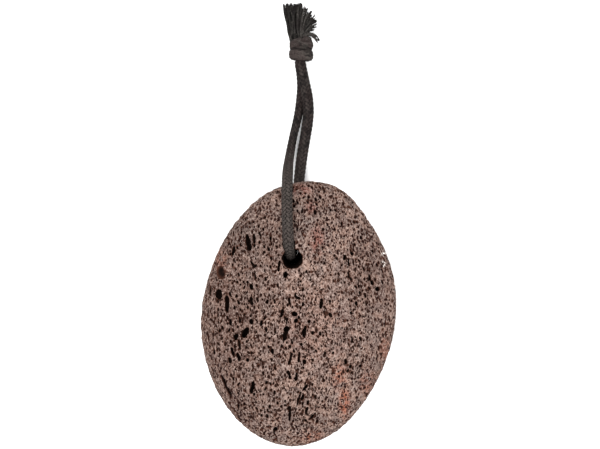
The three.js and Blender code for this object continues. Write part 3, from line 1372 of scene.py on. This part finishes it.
    def _thin(self, stone: bpy.types.Object) -> None:
        """Thins the mesh to its triangle limit: first the back alone, and then the whole.

        Args:
            stone: The stone, whose mesh is replaced.
        """
        mesh = stone.data
        made = triangles_of(mesh)
        below = points_of(mesh)[:, 2] / MM < self.form.rim_height - self.front_margin
        corners = np.empty(len(mesh.loops), np.int32)
        mesh.loops.foreach_get("vertex_index", corners)
        behind = 2 * int(below[corners.reshape(-1, 4)].all(axis=1).sum())
        group = stone.vertex_groups.new(name="back")
        group.add(np.flatnonzero(below).tolist(), 1.0, "REPLACE")
        kept = made - behind + self.back_triangles
        for name, ratio in (("back", kept / made), ("", self.most_triangles / kept)):
            modifier = stone.modifiers.new("thin", "DECIMATE")
            modifier.ratio = min(ratio, 1.0)
            modifier.use_collapse_triangulate = True
            modifier.vertex_group = name
        graph = bpy.context.evaluated_depsgraph_get()
        thinned = bpy.data.meshes.new_from_object(stone.evaluated_get(graph))
        stone.modifiers.clear()
        stone.vertex_groups.clear()
        stone.data = thinned
        thinned.name = stone.name
        thinned.polygons.foreach_set("use_smooth", np.ones(len(thinned.polygons), bool))
        log.info("stone: thinned from %d to %d triangles", made, triangles_of(thinned))

    def _mark(self, mesh: bpy.types.Mesh, lumps: Block) -> None:
        """Stores how deep each vertex lies and how far it is in each coloured patch.

        Args:
            mesh: The stone's mesh.
            lumps: How far the lumps have moved the surface out at each place.
        """
        points = points_of(mesh).astype(float) / MM
        coarse = self._coarseness(points)
        near = np.round((points - lumps.low) / lumps.cube).astype(int)
        near = np.clip(near, 0, np.array(lumps.values.shape) - 1)
        # The depth drives the stone finish's painted shade down into the pores.
        depth = self.form.inside(points) + lumps.values[tuple(near.T)]
        values = {"depth": np.maximum(depth, 0.0), "coarse": coarse}
        rim, blend = self.form.rim_height, self.patch_blend
        front = ease(points[:, 2], rim - blend, rim + blend)
        for tone, blobs in self.patches.items():
            amount = np.zeros(len(points))
            for blob in blobs:
                share = blob.share(points[:, 0], points[:, 1], self.patch_fall, self.patch_power)
                amount = np.maximum(amount, share)
            values[tone.value] = amount * front
        store(mesh, values)

    def dress(self, stone: bpy.types.Object, finish: PumiceFinish) -> None:
        """Gives the stone its finish and its place in the frame.

        Args:
            stone: The stone.
            finish: Its finish.
        """
        stone.data.materials.append(finish.make())
        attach(stone, BODY)
        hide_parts("pumice_stone")


# ---------------------------------------------------------------------------------------------
# The cord, its knot and its frayed ends
# ---------------------------------------------------------------------------------------------


@dataclass(frozen=True)
class Braid:
    """A round braid: each yarn passes over two and under two of those that wind the other way.

    One yarn goes once round in a turn. Its back rises by the crown as an arch of the given
    roundness, and swings in and out by the swing. Metres.
    """

    yarns: int = 8
    turn: float = 0.0125
    crown: float = 0.00028
    swing: float = 0.00018
    blend: float = 0.00005
    roundness: float = 0.96
    end_share: float = 0.08
    columns: int = 64
    rings_per_crossing: int = 6
    hollow: float = 0.00026
    seed: int = 5

    @property
    def step(self) -> float:
        """The spacing of the rings."""
        return self.turn / (self.yarns * self.rings_per_crossing)

    def relief(self, around: Array, along: Array) -> tuple[Array, Array]:
        """Works out how far the yarns' backs lie under the cord's outer radius.

        Two families of yarns wind round in opposite ways. A yarn's back is a circle arch across
        its width, raised and lowered by a cosine with a period of four crossings, half a period
        apart between families. The surface is the higher of the two, softly blended.

        Args:
            around: Angle round the cord, in turns.
            along: Distance along the cord.

        Returns:
            A height, about 0 on the highest backs and less elsewhere, and the shade of the
            yarn that is on top, from 0 to 1.
        """
        tones = np.random.default_rng(self.seed).random((2, self.yarns))
        one = self.yarns * (around - along / self.turn)
        two = self.yarns * (around + along / self.turn)
        first, second = np.floor(one), np.floor(two)
        heights, shades = [], []
        for sign, number, across, beat, tone in (
            (1, first, one - first, (two - 0.5) + first, tones[0]),
            (-1, second, two - second, second + (one - 0.5), tones[1]),
        ):
            arch = np.sqrt(1.0 - self.roundness * (2 * across - 1) ** 2) - 1.0
            swing = sign * np.cos(0.5 * np.pi * beat - 0.25 * np.pi) - 1.0
            heights.append(self.crown * arch + self.swing * swing)
            shades.append(tone[number.astype(int) % self.yarns])
        apart = heights[0] - heights[1]
        height = 0.5 * (sum(heights) + np.sqrt(apart**2 + self.blend**2))
        return height, np.where(apart > 0, shades[0], shades[1])

    def sleeve(
        self,
        rail: Rail,
        half_side: float | Array,
        half_up: float,
        twist: float = 0.0,
        power: float = 2.0,
    ) -> Surface:
        """Wraps the braid round a rail.

        Args:
            rail: The path to follow.
            half_side: Half the cord's width along the rail's side, as one number or as one
                for each point of the rail.
            half_up: Half the cord's thickness along the rail's up.
            twist: Turns that the braid is given at the start, so that two lengths differ.
            power: The section's superellipse power: 2 is an oval, and more is squarer.

        Returns:
            The closed tube, with the value relief from 0 in the crevices to 1 on the crowns,
            and the value shade from 0 to 1 by yarn.
        """
        around = np.arange(self.columns) / self.columns
        grid_around, grid_along = np.meshgrid(around + twist, rail.along)
        height, shade = self.relief(grid_around, grid_along)
        to_end = np.minimum(rail.along, rail.length - rail.along)
        full = 1 - (1 - np.minimum(to_end / half_up, 1.0)) ** 2
        full = np.sqrt(np.clip(full, self.end_share, 1.0))
        angle = 2 * np.pi * np.broadcast_to(around, grid_along.shape)
        cos, sin = np.cos(angle), np.sin(angle)
        square = (np.abs(cos) ** power + np.abs(sin) ** power) ** (-1.0 / power)
        wide = np.reshape(half_side, (-1, 1)) + height
        side = (wide * square * full[:, None] * cos)[..., None]
        up = ((half_up + height) * square * full[:, None] * sin)[..., None]
        rings = rail.points[:, None] + side * rail.side[:, None] + up * rail.up[:, None]
        # The relief masks the painted shade in the hollows between the yarns.
        relief = np.clip(1.0 + height / self.hollow, 0.0, 1.0)
        return Surface.tube(rings[None], {"relief": relief[None], "shade": shade[None]})


@dataclass(frozen=True)
class Pinch:
    """A stretch of soft cord that has turned on its edge: narrower, and aside. Metres."""

    middle: float = 0.0275
    reach: float = 0.024
    narrowing: float = 0.0005
    shift: float = -0.00035

    def share(self, along: Array) -> Array:
        """Returns 1 in the stretch's middle and 0 past its ends, by a raised cosine."""
        off = np.clip((along - self.middle) / self.reach, -1.0, 1.0)
        return 0.5 + 0.5 * np.cos(np.pi * off)


@dataclass
class BraidedCord:
    """The loop of cord, from the knot through the stone and back to the knot."""

    route: tuple[Place, ...] = CORD_ROUTE
    braid: Braid = field(default_factory=Braid)
    half_width: float = 0.00204
    half_thickness: float = 0.0019
    into_knot: float = 0.0014
    pinch: Pinch = field(default_factory=Pinch)

    def path(self) -> Array:
        """Carries both ends of the route a little way into the knot.

        Returns:
            Points along the path.
        """
        points = np.asarray(self.route)
        tuck = np.array([0.0, self.into_knot, 0.0])
        return np.vstack([points[0] + tuck, points, points[-1] + tuck])

    def rail(self) -> Rail:
        """Lays the rail that the braid follows, moved aside where the cord is pinched.

        Returns:
            The rail.
        """
        rail = Rail.lay(self.path(), self.braid.step, np.array([1.0, 0.0, 0.0]))
        shift = self.pinch.shift * self.pinch.share(rail.along)
        return replace(rail, points=rail.points + shift[:, None] * rail.side)

    def build(self) -> bpy.types.Object:
        """Builds the cord's mesh.

        Returns:
            The cord's object.
        """
        rail = self.rail()
        half_side = self.half_width - self.pinch.narrowing * self.pinch.share(rail.along)
        return self.braid.sleeve(rail, half_side, self.half_thickness).to_object("braided_cord")

    def dress(
        self, cord: bpy.types.Object, carried: list[bpy.types.Object], material: bpy.types.Material
    ) -> None:
        """Gives the cord its finish and its place in the frame.

        Args:
            cord: The cord.
            carried: The pieces at its far end. Not used.
            material: Its finish.
        """
        cord.data.materials.append(material)
        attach(cord, BODY)
        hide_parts("hanging_cord")
        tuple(self.route[0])
        [tuple(float(c) for c in p) for p in self.rail().points[::8]]


@dataclass(frozen=True)
class Wrap:
    """One visible wrap of cord in the knot.

    Its middle line runs round the knot's axis from one turn to another (0 faces up, a quarter
    faces +X). Its height along the axis changes evenly, and tilts with the distance to the
    side. Metres.
    """

    start_turn: float
    end_turn: float
    start_height: float
    end_height: float
    orbit: float
    half_width: float
    half_thickness: float
    tilt: float = 0.0

    def middle_line(self) -> Array:
        """Works out the wrap's middle line.

        Returns:
            Points along it, about the knot's middle.
        """
        share = np.linspace(0.0, 1.0, 15)
        turn = 2 * np.pi * (self.start_turn + (self.end_turn - self.start_turn) * share)
        height = self.start_height + (self.end_height - self.start_height) * share
        height = height + self.tilt * np.sin(turn)
        return np.stack([self.orbit * np.sin(turn), height, self.orbit * np.cos(turn)], axis=1)


@dataclass
class TiedKnot:
    """Both ends of the loop tied in one overhand knot. Metres, about the knot's middle.

    A gap is in half thicknesses of the wrap it is measured to, and facing is the cosine between
    the inward directions of two wraps, with its sign turned round.
    """

    centre: Place = (0.00075, 0.0952, 0.0044)
    braid: Braid = field(
        default_factory=lambda: Braid(
            yarns=12,
            turn=0.034,
            crown=0.0002,
            swing=0.00014,
            columns=72,
            rings_per_crossing=10,
            hollow=0.0003,
        )
    )
    power: float = 2.6
    twist_step: float = 0.07
    core_relief: float = 0.4
    gap: tuple[float, float] = (0.98, 1.35)
    facing: tuple[float, float] = (-0.5, 0.1)
    wraps: tuple[Wrap, ...] = (
        Wrap(-0.5, 0.5, 0.0003, 0.0003, 0.0020, 0.0022, 0.0021),
        Wrap(-0.53, 0.53, -0.0020, -0.0020, 0.00235, 0.0022, 0.00215, tilt=-0.0002),
        Wrap(-0.36, 0.08, 0.0008, 0.0028, 0.0024, 0.0019, 0.0019),
        Wrap(-0.04, 0.34, 0.0027, 0.0011, 0.00265, 0.0019, 0.0018),
        Wrap(0.03, 0.4, 0.0041, 0.0032, 0.0022, 0.0012, 0.0017),
        Wrap(0.28, 0.72, 0.0016, 0.0016, 0.0023, 0.0021, 0.0019),
    )

    def build(self) -> bpy.types.Object:
        """Builds the knot as braided wraps that press into each other.

        The first wrap is the core, which shows only as a seam between the others, its relief
        lowered so that it takes painted shade. The value relief falls to nothing where one wrap
        faces another that is close, which paints shade where the wraps press together.

        Returns:
            The knot's object.
        """
        step = self.braid.step
        rails, parts = [], []
        for number, wrap in enumerate(self.wraps):
            middle = wrap.middle_line() + np.asarray(self.centre)
            rail = Rail.lay(middle, step, np.array([0.0, 1.0, 0.0]))
            size = wrap.half_width, wrap.half_thickness
            rails.append(rail)
            twist = self.twist_step * number
            parts.append(self.braid.sleeve(rail, *size, twist=twist, power=self.power))
        # Painted shade: the core's relief is lowered so that the seam between the wraps is dark.
        parts[0].values["relief"] *= self.core_relief
        # Painted shade where one wrap faces another close by.
        for part, own in zip(parts, rails, strict=True):
            inward = own.apart(part.vertices, 1.0, 1.0)[1]
            for rail, wrap in zip(rails, self.wraps, strict=True):
                if rail is not own:
                    gap, way = rail.apart(part.vertices, wrap.half_width, wrap.half_thickness)
                    facing = ease(-np.sum(inward * way, axis=1), *self.facing)
                    part.values["relief"] *= 1 - facing * (1 - ease(gap, *self.gap))
        return Surface.joined(parts).to_object("tied_knot")

    def dress(self, knot: bpy.types.Object, material: bpy.types.Material) -> None:
        """Gives the knot its finish and its place in the frame.

        Args:
            knot: The knot.
            material: Its finish.
        """
        knot.data.materials.append(material)
        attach(knot, BODY)
        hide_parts("cord_knot")


@dataclass(frozen=True)
class Yarn:
    """How a loose yarn is made: plies twisted together, with a wavering path. Metres."""

    radius: float = 0.00029
    plies: int = 2
    lobe: float = 0.22
    twist: float = 0.0019
    waver: float = 0.0003
    sides: int = 8
    rings: int = 40
    open_share: float = 0.75
    uneven: tuple[float, float] = (0.8, 1.2)
    waves: tuple[float, float] = (0.8, 2.0)
    taper_start: float = 0.93

    def spin(self, ends: Array, shades: Array, random: Random) -> Surface:
        """Makes one yarn along each path.

        A yarn's section is a circle whose radius rises and falls once for each ply, turning
        along its length. Its path wavers by a slow sine wave that grows from nothing at its
        root, and its tip narrows. Its relief is the share of its side that faces away from its
        strand's middle, low where yarns press together, where the finish paints shade.

        Args:
            ends: Control points as (yarn, point, xyz and xyz), all with the same number of
                points. Each has the yarn's place and that of its strand's middle.
            shades: How light each yarn is, from 0 to 1.
            random: The source of random numbers.

        Returns:
            The closed tubes, with the value relief along the plies and shade by yarn.
        """
        both = np.stack([evenly(one, self.rings, 0.0)[0] for one in ends])
        paths, cores = both[..., :3], both[..., 3:]
        yarns, count = paths.shape[:2]
        share = np.linspace(0.0, 1.0, count)[None, :, None]
        phase = random.uniform(0, 2 * np.pi, (yarns, 1, 3))
        waves = random.uniform(*self.waves, (yarns, 1, 3))
        paths = paths + self.waver * share * np.sin(2 * np.pi * waves * share + phase)
        tangent = unit(np.gradient(paths, axis=1))
        hint = np.array([0.0, 0.0, 1.0])
        side = unit(hint - np.sum(tangent * hint, axis=2, keepdims=True) * tangent)
        up = np.cross(tangent, side)
        steps = np.linalg.norm(np.diff(paths, axis=1), axis=2)
        run = np.concatenate([np.zeros((yarns, 1)), np.cumsum(steps, axis=1)], axis=1)
        angle = 2 * np.pi * np.arange(self.sides) / self.sides
        turned = angle - (2 * np.pi * run / self.twist + phase[:, :, 0])[..., None]
        ply = np.cos(self.plies * turned)
        thick = self.radius * random.uniform(*self.uneven, (yarns, 1))
        thick = thick * (1 - 0.5 * ease(share[:, :, 0], self.taper_start, 1.0))
        radius = thick[..., None] * (1 + self.lobe * ply)
        rings = paths[:, :, None] + radius[..., None] * (
            np.cos(angle)[:, None] * side[:, :, None] + np.sin(angle)[:, None] * up[:, :, None]
        )
        shade = np.broadcast_to(shades[:, None, None], ply.shape)
        # The relief is low where yarns press together: the mask of painted shade between them.
        facing = unit(rings - paths[:, :, None]) * unit(rings - cores[:, :, None])
        open_side = np.clip(np.sum(facing, axis=-1), 0.0, 1.0)
        relief = self.open_share * open_side + (1 - self.open_share) * ply
        relief = np.clip(relief, 0.0, 1.0)
        return Surface.tube(rings, {"relief": relief, "shade": shade})


def sunflower(count: int, random: Random) -> tuple[Array, Array]:
    """Spreads places evenly in a disc of radius 1, a golden angle apart, a bit uneven.

    Args:
        count: How many places.
        random: The source of random numbers.

    Returns:
        The places across and up.
    """
    number = np.arange(count)
    spread = np.sqrt((number + 0.5) / count)
    angle = number * np.pi * (3 - np.sqrt(5)) + random.normal(0, 0.2, count)
    return spread * np.cos(angle), spread * np.sin(angle)


@dataclass(frozen=True)
class Bundle:
    """How each strand of an opened cord is split into yarns that twist loosely. Metres.

    How light a yarn is depends on its strand by the strand share, and on itself for the rest.
    """

    yarns: int = 4
    root_spread: float = 0.00018
    tip_spread: float = 0.00028
    turns: float = 0.8
    ragged: float = 0.0004
    shortest: float = 0.3
    keep_every: int = 8
    strand_share: float = 0.65
    darkest: float = 0.1
    contrast: float = 1.4
    yarn: Yarn = field(default_factory=lambda: Yarn(radius=0.00022, waver=0.00012, rings=30))

    def open(self, strands: Array, random: Random) -> Surface:
        """Makes the yarns of some strands.

        A yarn keeps to a circle round its strand's path that widens towards the tip, and
        turns round it as it goes. The yarns of one strand end at uneven lengths.

        Args:
            strands: Control points as (strand, point, xyz).
            random: The source of random numbers.

        Returns:
            The yarns as one surface.
        """
        paths = np.stack([through(one)[:: self.keep_every] for one in strands])[:, None]
        count, steps = len(strands), paths.shape[2]
        short = random.gamma(1.5, self.ragged, (count, self.yarns, 1, 1))
        reach = np.linalg.norm(paths[:, :, -1] - paths[:, :, 0], axis=-1)[:, :, None, None]
        share = np.linspace(0.0, 1.0, steps)[None, None, :, None]
        tangent = unit(np.gradient(paths, axis=2))
        side = unit(np.cross(tangent, np.array([0.0, 0.0, 1.0])))
        up = np.cross(side, tangent)
        turn = random.uniform(0, 1, (count, 1, 1, 1))
        turn = turn + np.arange(self.yarns)[None, :, None, None] / self.yarns
        angle = 2 * np.pi * (turn + self.turns * share)
        spread = self.root_spread + (self.tip_spread - self.root_spread) * share
        yarns = paths + spread * (np.cos(angle) * side + np.sin(angle) * up)
        both = np.concatenate([yarns, np.broadcast_to(paths, yarns.shape)], axis=-1)
        root = both[:, :, :1]
        both = root + (both - root) * np.maximum(1 - short / reach, self.shortest)
        light = self.strand_share * random.random((count, 1))
        light = light + (1 - self.strand_share) * random.random((count, self.yarns))
        light = self.darkest + (1 - self.darkest) * light**self.contrast
        return self.yarn.spin(both.reshape(-1, steps, 6), light.ravel(), random)


@dataclass(frozen=True)
class Brush:
    """A straight brush of strands, which pass through ovals at its root, middle and tip.

    Each oval is its middle and its half width and height. A strand keeps its place in each,
    but strays a little. The tips form a ragged line that may slant. Metres.
    """

    count: int = 30
    ovals: tuple[tuple[Place, tuple[float, float]], ...] = (
        ((-0.0008, 0.0976, 0.0044), (0.0025, 0.0019)),
        ((-0.0019, 0.1038, 0.0040), (0.0028, 0.0024)),
        ((-0.0022, 0.1123, 0.0034), (0.0034, 0.0026)),
    )
    tip_slant: float = 0.0001
    ragged: float = 0.0005
    stray: float = 0.0005
    bundle: Bundle = field(default_factory=Bundle)
    seed: int = 21

    def spin(self) -> Surface:
        """Makes the brush's yarns.

        Returns:
            The yarns as one surface.
        """
        random = np.random.default_rng(self.seed)
        across, over = sunflower(self.count, random)
        points = []
        for place, (middle, half) in enumerate(self.ovals):
            off = place * self.stray * random.standard_normal((2, self.count))
            y = np.full(self.count, middle[1])
            if place == len(self.ovals) - 1:
                y = y + self.tip_slant * across - random.gamma(1.3, self.ragged, self.count)
            x = middle[0] + half[0] * across + off[0]
            points.append(np.stack([x, y, middle[2] + half[1] * over + 0.5 * off[1]], axis=1))
        return self.bundle.open(np.stack(points, axis=1), random)


@dataclass(frozen=True)
class Fan:
    """Strands that rise together from a root and spread out sideways like a fan. Metres.

    A strand's angle runs from low to high in degrees above +X, and its length with it.
    """

    count: int = 20
    root: Place = (0.0012, 0.0984, 0.0052)
    root_half: tuple[float, float] = (0.0008, 0.0010)
    rise: float = 0.0028
    low_angle: float = 14.0
    high_angle: float = 94.0
    low_length: float = 0.0046
    high_length: float = 0.0105
    bulge: float = 0.72
    depth_spread: float = 0.0016
    drop: float = 0.0008
    knee: float = 0.0006
    bow: float = 0.0003
    ragged: float = 0.0006
    bundle: Bundle = field(
        default_factory=lambda: Bundle(
            yarns=2, root_spread=0.00012, tip_spread=0.0002, ragged=0.0004
        )
    )
    seed: int = 45

    def spin(self) -> Surface:
        """Makes the fan's yarns.

        Returns:
            The yarns as one surface.
        """
        random = np.random.default_rng(self.seed)
        share = (np.arange(self.count) + 0.5) / self.count
        across = 1.0 - 2.0 * share
        over = random.uniform(-1.0, 1.0, self.count)
        angle = np.radians(self.low_angle + (self.high_angle - self.low_angle) * share)
        length = self.low_length + (self.high_length - self.low_length) * share**self.bulge
        length = length - random.gamma(1.2, self.ragged, self.count)
        root = np.asarray(self.root)
        start = root + np.stack(
            [self.root_half[0] * across, np.zeros(self.count), self.root_half[1] * over], axis=1
        )
        lean = np.stack([np.cos(angle), np.sin(angle), np.zeros(self.count)], axis=1)
        knee = start + np.array([0.0, self.rise, 0.0]) + self.knee * lean
        flat = np.zeros(self.count)
        depth = np.stack([flat, flat, self.depth_spread * over - self.drop], axis=1)
        tip = root + np.array([0.0, self.rise, 0.0]) + length[:, None] * lean + depth
        bow = self.bow * lean[:, [1, 0, 2]] * np.array([-1.0, 1.0, 0.0])
        half_way = 0.5 * (knee + tip) + bow
        return self.bundle.open(np.stack([start, knee, half_way, tip], axis=1), random)


@dataclass
class FrayedEnds:
    """The two cut ends of the cord past the knot, opened out into their yarns."""

    left: Brush = field(default_factory=Brush)
    right: Fan = field(default_factory=Fan)
    stray_route: tuple[Place, ...] = (
        (0.0014, 0.0996, 0.0056),
        (0.0024, 0.1004, 0.0064),
        (0.0037, 0.1007, 0.0063),
        (0.0050, 0.1004, 0.0058),
        (0.0062, 0.0995, 0.0050),
        (0.0072, 0.0980, 0.0040),
    )
    stray: Bundle = field(
        default_factory=lambda: Bundle(
            yarns=9, root_spread=0.00038, tip_spread=0.0006, ragged=0.0003
        )
    )
    stray_seed: int = 10

    def build_left(self) -> bpy.types.Object:
        """Builds and returns the left tuft."""
        return self.left.spin().to_object("frayed_yarns_left")

    def build_right(self) -> bpy.types.Object:
        """Builds the right tuft, with the stray yarns that hang off beside it.

        Returns:
            The tuft's object.
        """
        random = np.random.default_rng(self.stray_seed)
        stray = self.stray.open(np.asarray(self.stray_route)[None], random)
        return Surface.joined([self.right.spin(), stray]).to_object("frayed_yarns_right")

    def dress(self, tuft: bpy.types.Object, node: str, material: bpy.types.Material) -> None:
        """Gives a tuft its finish and its place in the frame.

        Args:
            tuft: The tuft.
            node: The CAD node that it replaces.
            material: Its finish.
        """
        tuft.data.materials.append(material)
        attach(tuft, BODY)
        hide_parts(node)


# ---------------------------------------------------------------------------------------------
# The studio
# ---------------------------------------------------------------------------------------------


@dataclass(frozen=True)
class Softbox:
    """A square soft light that faces the object. Metres and watts."""

    name: str
    place: Place
    size: float
    power: float


@dataclass
class Studio:
    """A pale floor, soft lights and a camera that looks straight down."""

    aim: tuple[float, float] = (0.00036, 0.0321)
    camera_height: float = 1.5
    stone_top: float = 0.012
    view_width: float = 0.2151
    sensor: float = 36.0
    floor_half: float = 4.0
    floor_drop: float = 0.0001
    sky: float = 1.2
    boxes: tuple[Softbox, ...] = (
        Softbox("key_left", (-0.9, 0.7, 1.6), 1.2, 38.0),
        Softbox("fill_right", (1.2, -0.3, 1.4), 1.2, 20.0),
        Softbox("top", (0.0, -0.8, 1.9), 1.2, 25.0),
    )

    def set_camera(self) -> None:
        """Places the camera over the object, its image upright along +Y."""
        data = bpy.data.cameras.new("camera")
        data.sensor_width = self.sensor
        data.lens = self.sensor * (self.camera_height - self.stone_top) / self.view_width
        data.clip_end = 50.0
        camera = bpy.data.objects.new("camera", data)
        camera.location = (*self.aim, self.camera_height)
        bpy.context.scene.collection.objects.link(camera)
        bpy.context.scene.camera = camera

    def lay_floor(self) -> None:
        """Lays the floor just under the object."""
        half, low = self.floor_half, -self.floor_drop
        signs = ((-1, -1), (1, -1), (1, 1), (-1, 1))
        corners = np.array([[a * half, b * half, low] for a, b in signs])
        face = np.array([[0, 1, 2, 3]], np.int32)
        floor = Surface(corners, [face]).to_object("floor", smooth=False)
        floor.data.materials.append(FloorFinish().make())

    def light(self) -> None:
        """Lights the scene with an even sky and soft boxes that face the stone."""
        scene = bpy.context.scene
        world = bpy.data.worlds.new("sky")
        world.use_nodes = True
        background = world.node_tree.nodes["Background"]
        background.inputs["Color"].default_value = (1.0, 1.0, 1.0, 1.0)
        background.inputs["Strength"].default_value = self.sky
        scene.world = world
        scene.view_settings.view_transform = "Standard"
        for box in self.boxes:
            data = bpy.data.lights.new(box.name, "AREA")
            data.size = box.size
            data.energy = box.power
            lamp = bpy.data.objects.new(box.name, data)
            lamp.location = box.place
            back = np.array(box.place)
            lamp.rotation_euler = (
                float(np.arctan2(np.hypot(back[0], back[1]), back[2])),
                0.0,
                float(np.arctan2(back[0], -back[1])),
            )
            scene.collection.objects.link(lamp)


def report(piece: bpy.types.Object) -> None:
    """Logs a finished piece with its size in millimetres and its triangles."""
    size = ", ".join(f"{d / MM:.1f}" for d in piece.dimensions)
    log.info("%s: %s mm, %d triangles", piece.name, size, triangles_of(piece.data))


def main() -> None:
    """Builds every piece in order."""
    logging.basicConfig(level=logging.INFO, format="%(name)s: %(message)s")
    studio = Studio()
    studio.set_camera()
    cord_maker = BraidedCord()
    cord = cord_maker.build()
    knot_maker = TiedKnot()
    knot = knot_maker.build()
    ends_maker = FrayedEnds()
    left, right = ends_maker.build_left(), ends_maker.build_right()
    cotton = CordFinish().make()
    frayed = CordFinish(
        name="frayed_cotton",
        dark=(6, 6, 6),
        light=(62, 59, 56),
        mauve=(30, 26, 26),
        crevice_shade=(2, 2, 2),
    ).make()
    knotted = CordFinish(
        name="knotted_cotton",
        dark=(20, 18, 17),
        light=(64, 59, 56),
        mauve=(50, 41, 40),
        crevice_shade=(4, 3, 3),
    ).make()
    knot_maker.dress(knot, knotted)
    ends_maker.dress(left, "frayed_end_left", frayed)
    ends_maker.dress(right, "frayed_end_right", frayed)
    cord_maker.dress(cord, [knot, left, right], cotton)
    stone_maker = PumiceStone()
    stone = stone_maker.build(through(cord_maker.route))
    stone_maker.dress(stone, PumiceFinish())
    studio.lay_floor()
    studio.light()
    for piece in (cord, knot, left, right, stone):
        report(piece)


if __name__ == "__main__":
    main()
